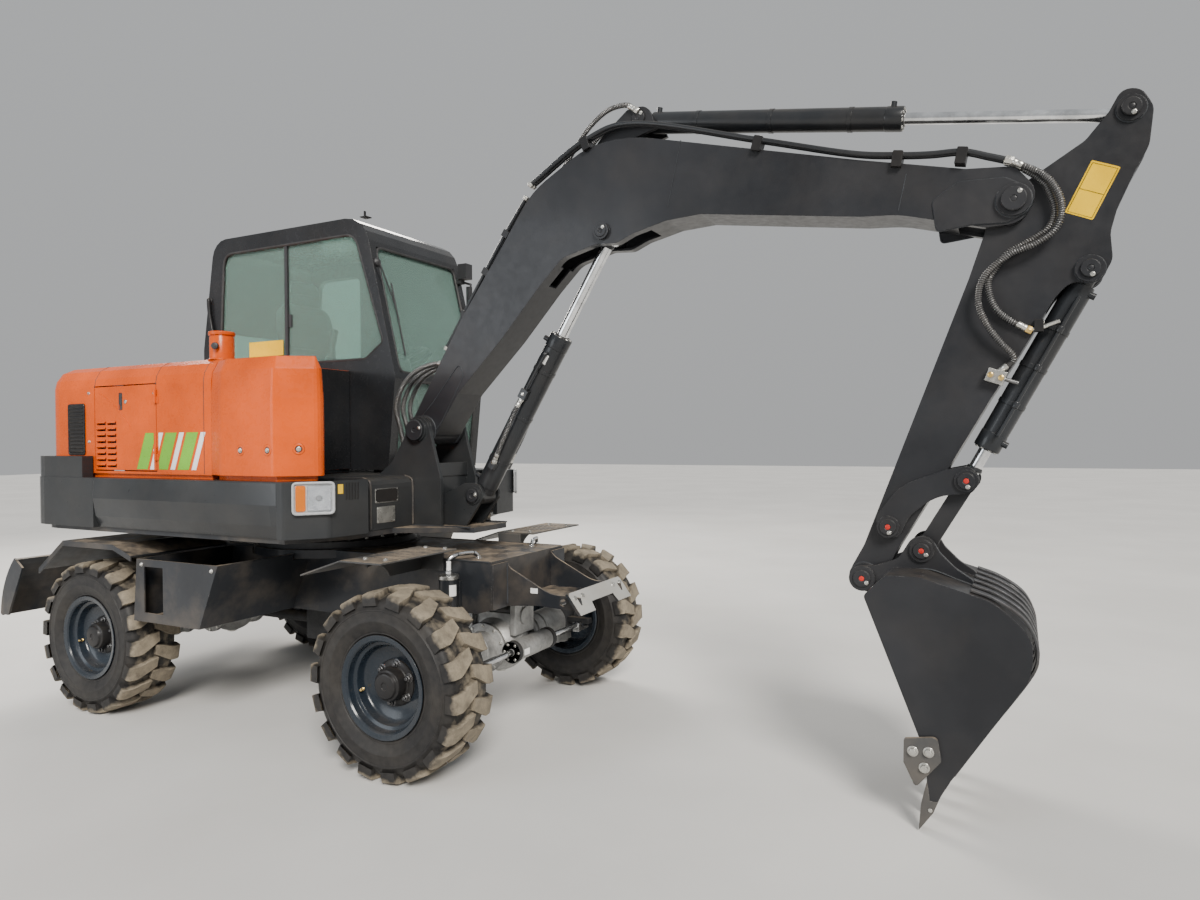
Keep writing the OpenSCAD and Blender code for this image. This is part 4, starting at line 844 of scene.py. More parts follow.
@dataclass
class Wheel:
    """One wheel: a tyre with chevron lugs on a deep stepped rim."""

    axle: Axle
    side: Side
    outer_r: float = 0.42
    half_width: float = 0.145
    lug_height: float = 0.026
    lug_count: int = 18
    rim_r: float = 0.2095
    rim_half: float = 0.128
    disc_out: float = 0.030
    hub_r: float = 0.112
    nuts: int = 6

    def __post_init__(self) -> None:
        """Work out the wheel's centre from its packed tyre."""
        self.words = f"{self.axle.name}_{self.side.name}".lower()
        low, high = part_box(f"tyre_{self.words}")
        self.centre = (low + high) / 2
        self.body = f"wheel_{self.axle.value}{self.side.name[0].lower()}"
        # the wheel's own Z points out of the machine
        self.place = facing(self.centre, (0, self.side.value, 0))

    def crown(self, across: float) -> float:
        """Return the radius of the tread's floor at a distance from the middle plane."""
        floor = self.outer_r - self.lug_height
        return floor - 0.030 * max(0.0, (abs(across) - 0.075) / 0.07) ** 2

    def carcass(self, form: Form) -> None:
        """Add the casing with its moulded rings to the tyre's form."""
        half, r, bead = self.half_width, self.outer_r, self.rim_r + 0.0005
        outer = [(bead, 0.098), (bead + 0.013, 0.113), (bead + 0.020, 0.1165), (bead + 0.026, 0.1225),
                 (bead + 0.032, 0.1225), (bead + 0.036, 0.127), (r * 0.68, half - 0.006),
                 (r * 0.69, half - 0.0035), (r * 0.70, half - 0.0035), (r * 0.71, half - 0.0055),
                 (r * 0.76, half - 0.0045), (r * 0.80, half - 0.006), (r * 0.807, half - 0.0035),
                 (r * 0.818, half - 0.004), (r * 0.825, half - 0.008), (r * 0.87, half - 0.014),
                 (r * 0.895, half - 0.022), (self.crown(0.115), 0.115), (self.crown(0.095), 0.095),
                 (self.crown(0.07), 0.07), (self.crown(0.035), 0.035)]
        profile = outer + [(a, -b) for a, b in outer[::-1]]
        inner = [(bead, -0.076), (r * 0.72, -half + 0.026), (r * 0.86, -half + 0.045), (r * 0.88, 0.0),
                 (r * 0.86, half - 0.045), (r * 0.72, half - 0.026), (bead, 0.076)]
        form.ring(profile + inner, 96, self.place)

    def lug(self, form: Form, angle: float, way: int) -> None:
        """Add one lug.

        Args:
            form: the tyre.
            angle: where it starts on the tread, in radians.
            way: 1 for the outer shoulder, -1 for the inner one.
        """
        # columns: distance from the middle plane, leading edge, trailing edge along the tread, height share
        stations = [(-0.008, 0.050, -0.002, 1.0), (0.022, 0.044, -0.020, 1.0), (0.050, 0.038, -0.036, 1.0),
                    (0.060, 0.031, -0.042, 1.0), (0.078, 0.026, -0.052, 1.0), (0.094, 0.021, -0.058, 1.0),
                    (0.128, 0.020, -0.060, 0.99), (0.139, 0.019, -0.059, 0.90)]
        rows = []
        for across, lead, trail, share in stations:
            lift = 0.018 * max(0.0, (across - 0.075) / 0.07) ** 2
            top = self.crown(across) + self.lug_height * share + lift
            top = min(top, self.outer_r - 0.0015)
            deep = self.crown(across) - 0.012
            rows.append([(lead + 0.006, deep), (lead, top), (trail, top), (trail - 0.006, deep)])
        # the shoulder block runs down the sidewall
        spread = [(s[0], r) for s, r in zip(stations, rows)]
        spread.append((0.1435, [(0.025, self.outer_r * 0.86), (0.018, self.outer_r * 0.955),
                                (-0.058, self.outer_r * 0.955), (-0.065, self.outer_r * 0.86)]))
        points = []
        for across, row in spread:
            for along, radius in row:
                a = angle + along / self.outer_r
                points.append((*polar(radius, a), way * across))
        faces = []
        for k in range(len(spread) - 1):
            for i in range(3):
                faces.append((4 * k + i, 4 * (k + 1) + i, 4 * (k + 1) + i + 1, 4 * k + i + 1))
        faces += [(0, 1, 2, 3), tuple(4 * (len(spread) - 1) + i for i in (3, 2, 1, 0))]
        if way < 0:
            faces = [f[::-1] for f in faces]
        form.add(points, faces, self.place)

    def tyre(self) -> bpy.types.Object:
        """Build the tyre with its lugs."""
        form = Form()
        self.carcass(form)
        pitch = math.tau / self.lug_count
        for i in range(self.lug_count):
            self.lug(form, i * pitch, 1)
            self.lug(form, (i + 0.5) * pitch, -1)
        rubber = TreadRubber(f"tread_{self.words}", tuple(self.centre), clean_radius=0.388,
                             tread_radius=0.412)
        made = piece(f"tyre_{self.words}_tread", form, [Look.HOSE], self.body, 38.0)
        made.data.materials[0] = rubber.material()
        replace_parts(made, f"tyre_{self.words}")
        return made

    def rim(self) -> bpy.types.Object:
        """Build the rim, its hub, nuts and valve."""
        form = Form()
        seat, half, disc = self.rim_r, self.rim_half, self.disc_out
        outer = [(seat, half - 0.014), (seat + 0.016, half - 0.009), (seat + 0.020, half - 0.004),
                 (seat + 0.0185, half), (seat + 0.010, half - 0.0015), (seat - 0.004, half - 0.005),
                 (seat - 0.010, half - 0.012), (seat - 0.011, half - 0.030), (seat - 0.016, half - 0.040),
                 (seat - 0.030, half - 0.046), (seat - 0.033, half - 0.054), (seat - 0.034, disc + 0.022),
                 (seat - 0.040, disc + 0.012), (seat - 0.052, disc + 0.004), (self.hub_r + 0.010, disc),
                 (self.hub_r, disc - 0.004), (0.070, disc - 0.004)]
        inner = [(0.070, disc - 0.016), (self.hub_r, disc - 0.016), (seat - 0.045, disc - 0.012),
                 (seat - 0.036, -0.020), (seat - 0.014, -0.040), (seat - 0.010, -half + 0.008),
                 (seat + 0.012, -half), (seat + 0.018, -half + 0.004), (seat, -half + 0.014),
                 (seat, -0.040), (seat - 0.026, -0.018), (seat - 0.022, half - 0.046),
                 (seat, half - 0.034)]
        form.ring(outer + inner, 120, self.place, 0)
        form.lathe([(0.104, disc - 0.008), (0.104, disc + 0.004), (0.098, disc + 0.008),
                    (0.078, disc + 0.010), (0.073, disc + 0.014), (0.072, disc + 0.052),
                    (0.068, disc + 0.060), (0.060, disc + 0.064), (0.054, disc + 0.074),
                    (0.047, disc + 0.0765), (0.018, disc + 0.0765), (0.016, disc + 0.073)],
                   64, self.place, 1)
        out = (0, self.side.value, 0)
        for i, a in enumerate(turns(self.nuts, 0.35)):
            spot = self.place @ Vector((*polar(0.088, a), disc + 0.007))
            form.bolt(spot, out, 0.031, 2, 17 * i)
            form.lathe([(0.0088, 0.0), (0.0088, 0.024), (0.0070, 0.026)], 16, facing(spot, out), 2)
        a = math.radians(195)
        spot = self.place @ Vector((*polar(seat - 0.034, a), half - 0.075))
        lean = self.place.to_3x3() @ Vector((*polar(-0.5, a), 1))
        form.lathe([(0.008, 0.0), (0.008, 0.010), (0.004, 0.012), (0.004, 0.030), (0.005, 0.031),
                    (0.005, 0.038)],
                   14, facing(spot, lean), 3)
        looks = [Look.RIM, Look.BLACK, Look.NUT, Look.BRASS]
        made = piece(f"rim_{self.words}_dish", form, looks, self.body, 30.0)
        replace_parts(made, f"rim_{self.words}")
        return made

    def build(self) -> None:
        """Build the whole wheel."""
        self.tyre()
        self.rim()


# Shapes that several sub-assemblies share


@dataclass(frozen=True)
class Line:
    """Straight line in the middle plane of the working gear, from a pin at an angle above level."""

    foot: Flat
    angle: float

    @classmethod
    def between(cls, start: Flat, end: Flat) -> "Line":
        """Return the line from one pin to another."""
        return cls(start, math.degrees(math.atan2(end[1] - start[1], end[0] - start[0])))

    def flat(self, along: float, up: float) -> Flat:
        """Return the place in X and Z of a point along and above the line."""
        c, s = math.cos(math.radians(self.angle)), math.sin(math.radians(self.angle))
        return self.foot[0] + along * c - up * s, self.foot[1] + along * s + up * c

    def at(self, along: float, up: float, y: float = 0.0) -> Vector:
        """Return the place in space of a point along and above the line."""
        x, z = self.flat(along, up)
        return Vector((x, y, z))


# pins along and above the boom's line
BOOM_FOOT: Flat = (0.0, 0.0)
BOOM_TIP: Flat = (2.989, 0.0)
BOOM_ROD_PIN: Flat = (1.318, 0.596)
ARM_BARREL_PIN: Flat = (1.640, 1.047)
# pins along and above the arm's line
ARM_TIP: Flat = (1.5906, 0.0)
ARM_ROD_PIN: Flat = (-0.409, 0.255)
BUCKET_BARREL_PIN: Flat = (0.173, 0.337)
ROCKER_PIN: Flat = (1.353, 0.018)
LINK_PIN: Flat = (1.068, 0.225)
# pins along and above the bucket's line
BUCKET_PIN: Flat = (0.0, 0.0)
BUCKET_LINK_PIN: Flat = (-0.064, 0.256)

BOOM = Line((-0.415, 1.550), 16.5)
ARM = Line(BOOM.flat(*BOOM_TIP), -110.7)
BUCKET = Line(ARM.flat(*ARM_TIP), -75.2)
BOOM_CYLINDER = Line.between((-0.110, 1.200), BOOM.flat(*BOOM_ROD_PIN))
ARM_CYLINDER = Line.between(BOOM.flat(*ARM_BARREL_PIN), ARM.flat(*ARM_ROD_PIN))
BUCKET_CYLINDER = Line.between(ARM.flat(*BUCKET_BARREL_PIN), ARM.flat(*LINK_PIN))
BLADE_CYLINDER = Line.between((-2.550, 0.960), (-2.520, 0.580))
RIGHT: Point = (0.0, -1.0, 0.0)
UP: Point = (0.0, 0.0, 1.0)
HOSE_RADIUS = 0.0105


def soft_box(low: Flat, high: Flat, radius: float, steps: int = 6) -> list[Flat]:
    """Return a rectangle between two corners, with its corners rounded in so many steps."""
    return rounded([(*corner, radius) for corner in rectangle(low, high)], steps)


def rounded(table: Sequence[tuple[float, float, float]], steps: int = 6) -> list[Flat]:
    """Round the corners of an outline.

    Args:
        table: corners as (along, up, corner radius).
        steps: pieces of each rounding.

    Returns:
        The rounded outline.
    """
    out: list[Flat] = []
    for i, (x, y, radius) in enumerate(table):
        corner = Vector((x, y))
        back = Vector(table[i - 1][:2]) - corner
        on = Vector(table[(i + 1) % len(table)][:2]) - corner
        half = back.angle(on) / 2
        cut = min(radius / math.tan(half), 0.48 * back.length, 0.48 * on.length)
        if cut <= 0:
            out.append((x, y))
            continue
        start, end = corner + back.normalized() * cut, corner + on.normalized() * cut
        for k in range(steps + 1):
            t = k / steps
            spot = (1 - t) ** 2 * start + 2 * t * (1 - t) * corner + t * t * end
            out.append((spot.x, spot.y))
    return out


def coil(form: Form, path: Sequence[Vector], radius: float, pitch: float, wire: float, slot: int) -> None:
    """Wind a guard spring round a hose.

    Args:
        form: the hose.
        path: its smooth path.
        radius: radius of the spring's middle line.
        pitch: distance from turn to turn.
        wire: radius of the wire.
        slot: number of its finish.
    """
    steps = 8
    turned: list[Vector] = []
    across = (path[1] - path[0]).orthogonal().normalized()
    done = 0.0
    for a, b in zip(path, path[1:]):
        way = (b - a).normalized()
        across = (across - way * across.dot(way)).normalized()
        other = way.cross(across)
        length = (b - a).length
        count = max(1, round(length / pitch * steps))
        for i in range(count):
            angle = math.tau * (done + length * i / count) / pitch
            turned.append(a.lerp(b, i / count)
                          + radius * (math.cos(angle) * across + math.sin(angle) * other))
        done += length
    form.tube(turned, wire, 5, slot)


def fitting(form: Form, spot: Sequence[float], direction: Sequence[float], radius: float, sleeve: int,
            nut: int) -> None:
    """Add a hose's crimped sleeve and its hexagon nut.

    Args:
        form: the mesh.
        spot: the hose's end.
        direction: from the hose's end along the hose.
        radius: radius of the hose.
        sleeve: finish of the sleeve.
        nut: finish of the nut.
    """
    place = facing(spot, direction)
    r = radius
    form.lathe([(r * 1.10, 0.006), (r * 1.28, 0.010), (r * 1.28, 0.020), (r * 1.18, 0.022),
                (r * 1.18, 0.025), (r * 1.28, 0.027), (r * 1.28, 0.042),
                (r * 1.12, 0.046)], 20, place, sleeve)
    form.lathe([(r * 1.38, -0.016), (r * 1.5, -0.014), (r * 1.5, 0.006), (r * 1.38, 0.008)], 6, place, nut)


def hose(form: Form, path: Sequence[Sequence[float]], radius: float,
         guard: tuple[float, float] = (0.0, 0.0), nuts: tuple[int, int] = (2, 2)) -> None:
    """Add a hose with its end fittings; slots are rubber, wire, sleeve and the nuts' own.

    Args:
        form: the mesh.
        path: points that it passes through.
        radius: its radius.
        guard: shares of its length where the guard spring starts and ends.
        nuts: finish of the nut at each end.
    """
    smooth = spline(path, 10)
    form.tube(smooth, radius, 14, 0)
    first, last = (int(share * (len(smooth) - 1)) for share in guard)
    if last > first:
        coil(form, smooth[first:last + 1], radius + 0.0012, 0.0085, 0.0017, 1)
    fitting(form, smooth[0], smooth[1] - smooth[0], radius, 2, nuts[0])
    fitting(form, smooth[-1], smooth[-2] - smooth[-1], radius, 2, nuts[1])


def cushion(centre: Sequence[float], size: Sequence[float], lean: float = 0.0, square: float = 0.3) -> Form:
    """Make a stuffed cushion as a rounded block that bulges between its seams.

    Args:
        centre: its middle.
        size: its length, width and height.
        lean: turn about Y, in degrees.
        square: from 0 for a block to 1 for an ellipsoid.

    Returns:
        The cushion.
    """
    across, around = 28, 56
    swelling, squeeze, seam_out, seam_radius = 0.10, 0.94, 1.003, 0.0045

    def power(value: float) -> float:
        """Return value raised to the cushion's power, with its sign kept."""
        return math.copysign(abs(value) ** square, value)

    points = []
    for i in range(across + 1):
        up = math.pi * (i / across - 0.5) * 0.998
        for k in range(around):
            turn = math.tau * k / around
            belt = power(math.cos(up))
            x, y, z = belt * power(math.cos(turn)), belt * power(math.sin(turn)), power(math.sin(up))
            swell = 1.0 + swelling * (1 - x * x) * (1 - y * y)
            points.append((x * size[0] / 2, y * size[1] / 2, z * size[2] / 2 * swell * squeeze))
    faces = tube_faces(across + 1, around)
    place = Matrix.Translation(Vector(centre)) @ Matrix.Rotation(math.radians(lean), 4, "Y")
    form = Form().add(points, faces, place)
    circle = [math.tau * k / 60 for k in range(61)]
    seam = [(power(math.cos(a)) * size[0] / 2 * seam_out, power(math.sin(a)) * size[1] / 2 * seam_out, 0.0)
            for a in circle]
    return form.tube([place @ Vector(p) for p in seam], seam_radius, 8, 1)


# Working gear


@dataclass(frozen=True)
class PinCap:
    """What caps both ends of a pin.

    Attributes:
        body: the body that it rides on.
        line: the line that the pin is placed on.
        spot: its place along and above that line.
        half: half the pin's length.
        radius: radius of its collar.
    """

    body: str
    line: Line
    spot: Flat
    half: float
    radius: float


class WorkingGear:
    """Boom, arm, bucket, their cylinders, pins, pipes and hoses."""

    pin_caps: Sequence[PinCap] = (
        PinCap("boom_body", BOOM, BOOM_FOOT, 0.185, 0.050),
        PinCap("boom_body", BOOM, BOOM_TIP, 0.145, 0.046),
        PinCap("boom_body", BOOM, BOOM_ROD_PIN, 0.128, 0.030),
        PinCap("boom_body", BOOM, ARM_BARREL_PIN, 0.080, 0.034),
        PinCap("arm_body", ARM, ARM_ROD_PIN, 0.099, 0.033),
        PinCap("arm_body", ARM, BUCKET_BARREL_PIN, 0.100, 0.034),
        PinCap("rocker_body", ARM, ROCKER_PIN, 0.127, 0.034),
        PinCap("rocker_body", ARM, LINK_PIN, 0.129, 0.034),
        PinCap("bucket_body", BUCKET, BUCKET_PIN, 0.143, 0.036),
        PinCap("bucket_body", BUCKET, BUCKET_LINK_PIN, 0.145, 0.033))
    back_route: Sequence[Flat] = ((0.250, 0.376), (0.420, 0.518), (0.616, 0.680), (0.790, 0.818),
                                  (0.965, 0.946))
    pipe_route: Sequence[Flat] = ((1.009, 0.975), (1.361, 1.052), (1.639, 1.005), (2.148, 0.668),
                                  (2.481, 0.443), (2.656, 0.350), (2.767, 0.300), (2.878, 0.258),
                                  (2.957, 0.200), (3.021, 0.150))
    long_route: Sequence[Point] = (
        (2.442, -0.119, 2.5505), (2.549, -0.122, 2.481), (2.596, -0.128, 2.411), (2.611, -0.132, 2.337),
        (2.588, -0.134, 2.266), (2.522, -0.134, 2.221), (2.434, -0.132, 2.189), (2.346, -0.130, 2.110),
        (2.329, -0.128, 2.008), (2.368, -0.120, 1.911), (2.410, -0.110, 1.852), (2.451, -0.098, 1.794),
        (2.393, -0.0863, 1.741))
    short_route: Sequence[Point] = (
        (2.442, -0.092, 2.5505), (2.540, -0.096, 2.470), (2.575, -0.102, 2.405), (2.588, -0.106, 2.337),
        (2.565, -0.108, 2.280), (2.505, -0.108, 2.240), (2.434, -0.108, 2.205), (2.393, -0.107, 2.155),
        (2.362, -0.106, 2.093), (2.380, -0.102, 2.007), (2.426, -0.094, 1.952), (2.500, -0.0863, 1.905))
    foot_route: Sequence[Flat] = ((-0.560, 1.306), (-0.590, 1.420), (-0.622, 1.560), (-0.655, 1.670),
                                  (-0.625, 1.765), (-0.560, 1.845), (-0.470, 1.893), (-0.380, 1.912),
                                  (-0.312, 1.912))
    cylinder_route: Sequence[Point] = (
        (0.385, 0.040, 2.8123), (0.450, 0.044, 2.880), (0.520, 0.052, 2.960), (0.600, 0.062, 3.035),
        (0.700, 0.076, 3.085), (0.800, 0.0853, 3.088), (0.852, 0.0853, 3.055))

    def pipe(self, form: Form, route: Sequence[Flat], y: float, radius: float, nut: float,
             sides: int) -> None:
        """Lay one steel pipe along the boom, with a nut at each end.

        Args:
            form: where it is added.
            route: its points along and above the boom.
            y: how far to the left it runs.
            radius: radius of the pipe.
            nut: radius of the nuts' ends.
            sides: corners of the pipe's section.
        """
        path = spline([BOOM.at(*p, y) for p in route], 8)
        form.tube(path, radius, sides, 0)
        wide = nut + 0.0025
        for end, other in ((path[0], path[1]), (path[-1], path[-2])):
            form.lathe([(nut, 0.0), (wide, 0.002), (wide, 0.018), (nut, 0.020)], 6,
                       facing(end, other - end), 1)

    def side_pipes(self) -> None:
        """Lay the two steel pipes along the boom's right edge, with clamps."""
        form = Form()
        for y in (-0.092, -0.119):
            self.pipe(form, self.pipe_route, y, 0.011, 0.014, 16)
        for i in (1, 3, 5, 7):
            a, b = self.pipe_route[i - 1], self.pipe_route[i + 1]
            line = Line(BOOM.flat(*self.pipe_route[i]),
                        BOOM.angle + math.degrees(math.atan2(b[1] - a[1], b[0] - a[0])))
            corners = rounded([(-0.020, -0.050, 0), (0.020, -0.050, 0), (0.020, 0.014, 0.005),
                               (-0.020, 0.014, 0.005)], 3)
            form.plate([line.flat(*c) for c in corners], -0.078, -0.133, 2)
            form.bolt(line.at(0.0, 0.014, -0.1055), line.at(0, 1) - line.at(0, 0), 0.015, 1)
        made = piece("boom_pipe_run", form, [Look.CYLINDER, Look.ZINC, Look.BLACK], "boom_body")
        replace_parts(made, "boom_pipes")

    def back_pipes(self) -> None:
        """Lay the two steel pipes up the boom's back, with clamps."""
        form = Form()
        for y in (-0.060, -0.087):
            self.pipe(form, self.back_route, y, 0.0095, 0.012, 14)
        way = BOOM.angle + math.degrees(math.atan2(0.570, 0.715))
        for spot in self.back_route[1:4]:
            line = Line(BOOM.flat(*spot), way)
            form.plate([line.flat(*c) for c in rectangle((-0.018, -0.024), (0.018, 0.013))], -0.046,
                       -0.101, 2)
            form.bolt(line.at(0.0, 0.013, -0.0735), line.at(0, 1) - line.at(0, 0), 0.014, 1)
        piece("boom_back_pipes", form, [Look.CYLINDER, Look.ZINC, Look.BLACK], "boom_body")

    def hoses(self) -> None:
        """Hang every hose of the boom and the arm."""
        looks = [Look.HOSE, Look.SPRING, Look.ZINC, Look.BRASS]
        form = Form()
        hose(form, self.long_route, HOSE_RADIUS, (0.04, 0.94), (2, 2))
        hose(form, self.short_route, HOSE_RADIUS, (0.04, 0.95), (2, 3))
        made = piece("arm_hose_pair", form, looks, None)
        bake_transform(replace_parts(made, "arm_hoses"))
        form = Form()
        for y in (-0.060, 0.0, 0.060):
            hose(form, [(x, y, z) for x, z in self.foot_route], 0.0118, (0.06, 0.92))
        made = piece("foot_hose_set", form, looks, None)
        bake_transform(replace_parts(made, "foot_hoses"))
        form = Form()
        for side in Side:
            hose(form, [(x, side.value * y, z) for x, y, z in self.cylinder_route], HOSE_RADIUS,
                 (0.05, 0.93))
        made = piece("cylinder_hose_pair", form, looks, "boom_body")
        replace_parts(made, "cylinder_hoses")

    def arm_fittings(self) -> None:
        """Add the valve block, the bracket and the steel pipe on the arm's right side."""
        form = Form()
        block = facing((2.388, -0.0752, 1.728), RIGHT, -20)
        form.box((-0.034, -0.026, 0.0), (0.034, 0.026, 0.034), block, 0)
        for x in (-0.020, 0.020):
            form.lathe([(0.010, 0.0), (0.012, 0.002), (0.012, 0.014), (0.008, 0.016)], 6,
                       block @ facing((x, 0.0, 0.034), UP), 1)
        form.lathe([(0.008, 0.0), (0.008, 0.05)], 12, block @ facing((0.034, 0.0, 0.017), (1, 0, 0)), 2)
        # steel pipe from the short hose to the bucket cylinder's side
        path = spline([(2.500, -0.0875, 1.905), (2.535, -0.090, 1.905), (2.570, -0.092, 1.918),
                       (2.606, -0.094, 1.930)], 8)
        form.tube(path, 0.0075, 14, 0)
        form.bolt((2.545, -0.0752, 1.930), RIGHT, 0.016, 0)
        form.box((2.520, -0.100, 1.893), (2.552, -0.0752, 1.940), slot=3)
        piece("arm_valve_block", form, [Look.ZINC, Look.BRASS, Look.SPRING, Look.BLACK], "arm_body",
              bevel=0.0012)

    def pins(self) -> None:
        """Cap both ends of every pin with a collar, a centre and a bolt."""
        forms: dict[str, Form] = {}
        for pin in self.pin_caps:
            form = forms.setdefault(pin.body, Form())
            radius = pin.radius
            keeper = Line(pin.line.flat(*pin.spot), pin.line.angle + 35)
            centre = 1 if pin.body in ("rocker_body", "bucket_body") else 0
            for side in Side:
                out = (0, side.value, 0)
                place = facing(pin.line.at(*pin.spot, side.value * (pin.half - 0.003)), out)
                form.lathe([(radius, -0.002), (radius, 0.005), (radius - 0.003, 0.008), (0.013, 0.008),
                            (0.011, 0.005)], 40, place, 0)
                form.lathe([(0.0105, 0.002), (0.0105, 0.0065), (0.007, 0.008)], 24, place, centre)
                form.bolt(keeper.at(radius * 0.72, 0.0, side.value * (pin.half + 0.004)), out, 0.013, 2)
        for body, form in forms.items():
            piece(f"{body}_pin_caps", form, [Look.BOOM, Look.RED, Look.ZINC], body)

    def round_bead(self, form: Form, line: Line, spot: Flat, y: float, radius: float, wire: float,
                   steps: int) -> None:
        """Run a weld bead round a boss.

        Args:
            form: where it is added.
            line: the line that the boss is placed on.
            spot: the boss's centre along and above that line.
            y: how far to the left the bead lies.
            radius: radius of its middle line.
            wire: radius of the bead.
            steps: pieces of the circle.
        """
        circle = [polar(radius, math.tau * i / steps) for i in range(steps + 1)]
        form.tube([line.at(spot[0] + x, spot[1] + z, y) for x, z in circle], wire, 8, 1)

    def collars(self) -> None:
        """Weld the reinforcing plates on the boom, and run beads round its bosses and the arm's."""
        form = Form()
        tip = rounded([(2.700, -0.005, 0.02), (2.720, 0.120, 0.03), (2.830, 0.150, 0.03),
                       (2.985, 0.098, 0.05), (3.058, 0.020, 0.06), (3.030, -0.062, 0.05),
                       (2.940, -0.070, 0.03), (2.830, -0.030, 0.04)])
        foot = rounded([(-0.060, 0.0, 0.06), (-0.030, 0.055, 0.05), (0.110, 0.130, 0.05),
                        (0.330, 0.270, 0.04), (0.340, 0.200, 0.04), (0.130, 0.010, 0.06),
                        (0.020, -0.055, 0.05)])
        for side in Side:
            y = side.value * 0.110
            form.plate([BOOM.flat(*p) for p in tip], y, y + side.value * 0.006, 0)
            bead = [BOOM.at(*p, y + side.value * 0.001) for p in [*tip, tip[0]]]
            form.tube(bead, 0.0035, 8, 1)
            form.tube([BOOM.at(*p, y + side.value * 0.0005) for p in [*foot, foot[0]]], 0.0028, 8, 1)
            for ends in (((1.814, 0.833), (1.667, 0.569)), ((2.662, 0.265), (2.590, 0.133))):
                form.tube([BOOM.at(*p, y) for p in ends], 0.0022, 8, 1)
            for pin, radius, width in ((BOOM_TIP, 0.0625, 0.116), (BOOM_FOOT, 0.0785, 0.1105)):
                self.round_bead(form, BOOM, pin, side.value * width, radius, 0.004, 40)
        piece("boom_weld_plates", form, [Look.BOOM, Look.WELD], "boom_body", bevel=0.001)
        form = Form()
        for side in Side:
            for pin, radius in ((ARM_TIP, 0.0585), (ROCKER_PIN, 0.0465), (BUCKET_BARREL_PIN, 0.0505),
                                (ARM_ROD_PIN, 0.0485)):
                self.round_bead(form, ARM, pin, side.value * 0.0755, radius, 0.0035, 36)
        piece("arm_weld_beads", form, [Look.BOOM, Look.WELD], "arm_body")

    def stickers(self) -> None:
        """Stick a blank yellow label on both sides of the arm."""
        form = Form()
        for side in Side:
            y = side.value * 0.0751
            sheet = rounded([(-0.207, 0.199, 0.006), (-0.005, 0.181, 0.006), (0.001, 0.281, 0.006),
                             (-0.202, 0.299, 0.006)], 3)
            form.plate([ARM.flat(*p) for p in sheet], y, y + side.value * 0.0005, 0)
            inner = [(-0.199, 0.205), (-0.011, 0.188), (-0.006, 0.275), (-0.195, 0.292)]
            form.tube([ARM.at(*p, y + side.value * 0.0003) for p in [*inner, inner[0]]], 0.0008, 6, 1)
            form.tube([ARM.at(*p, y + side.value * 0.0003) for p in ((-0.100, 0.196), (-0.095, 0.283))],
                      0.0008, 6, 1)
        piece("arm_labels", form, [Look.YELLOW, Look.BLACK], "arm_body")

    def cylinder(self, name: str, line: Line, length: float, radius: float, rod_radius: float,
                 reach: float, pipe: tuple[float, float, float]) -> None:
        """Dress one cylinder with its gland nut, bolts, bands, pipe and wiper, and its rod with a neck.

        Args:
            name: the barrel's body; the rod's body is the same with _rod.
            line: from its foot pin to its eye.
            length: from the foot pin to the barrel's end.
            radius: radius of the barrel.
            rod_radius: radius of the rod.
            reach: from the foot pin to the eye.
            pipe: start, end and side of the steel pipe along the barrel; a side of 0 has its bands alone.
        """
        form = Form()
        way = line.at(1, 0) - line.at(0, 0)
        end = facing(line.at(length, 0), way)
        r = radius
        form.ring([(r + 0.0003, -0.070), (r + 0.0015, -0.066), (r + 0.0015, -0.006), (r - 0.001, 0.0),
                   (rod_radius + 0.005, 0.001), (rod_radius + 0.005, -0.004), (r - 0.004, -0.008),
                   (r - 0.004, -0.066)], 48, end, 0)
        for a in turns(8, 0.5):
            form.bolt(end @ Vector((*polar(r - 0.010, a), 0.0)), way, 0.012, 1)
        form.ring([(rod_radius + 0.001, -0.002), (rod_radius + 0.008, 0.0), (rod_radius + 0.006, 0.005),
                   (rod_radius + 0.001, 0.006)], 40, end, 2)
        start, stop, side = pipe
        up, out = 0.3 * r, r + 0.028
        bands = (start + 0.12, (start + stop) / 2, stop - 0.12)
        for along in bands:
            band = facing(line.at(along, 0), way)
            form.ring([(r + 0.0005, -0.009), (r + 0.0025, -0.009), (r + 0.0025, 0.009),
                       (r + 0.0005, 0.009)], 48,
                      band, 0)
        if side:
            path = [line.at(start, up, side * r * 0.8), line.at(start, up, side * (out - 0.004)),
                    line.at(start + 0.03, up, side * out), line.at(stop - 0.03, up, side * out),
                    line.at(stop, up, side * (out - 0.004)), line.at(stop, up, side * r * 0.8)]
            form.tube(spline(path, 6), 0.0075, 12, 3)
            for along in bands:
                form.lathe([(0.012, -0.012), (0.013, -0.010), (0.013, 0.010), (0.012, 0.012)], 16,
                           facing(line.at(along, up, side * out), way), 3)
        piece(f"{name}_trim", form, [Look.CYLINDER, Look.ZINC, Look.SEAL, Look.CYLINDER], name)
        form = Form()
        neck = facing(line.at(reach - 0.058, 0), way)
        form.ring([(rod_radius + 0.0005, -0.002), (rod_radius + 0.005, 0.001),
                   (rod_radius + 0.008, 0.013), (rod_radius + 0.0005, 0.018)], 36, neck, 0)
        piece(f"{name}_rod_neck", form, [Look.CYLINDER], f"{name}_rod")

    def rod_tail(self, rod: str, line: Line, barrel: float, tail: float, radius: float,
                 spots: Sequence[float]) -> None:
        """Add the rod's length that hides in its barrel at rest and shows when the cylinder extends.

        Args:
            rod: the rod's body.
            line: from the cylinder's foot pin to its eye.
            barrel: length from the foot pin to the barrel's end.
            tail: how far the rod reaches back into the barrel.
            radius: radius of the rod.
            spots: Y of each such cylinder.
        """
        form = Form()
        for y in spots:
            form.tube([line.at(barrel - tail, 0.0, y), line.at(barrel - 0.055, 0.0, y)], radius, 48, 0)
        piece(f"{rod}_tail", form, [Look.CHROME], rod)

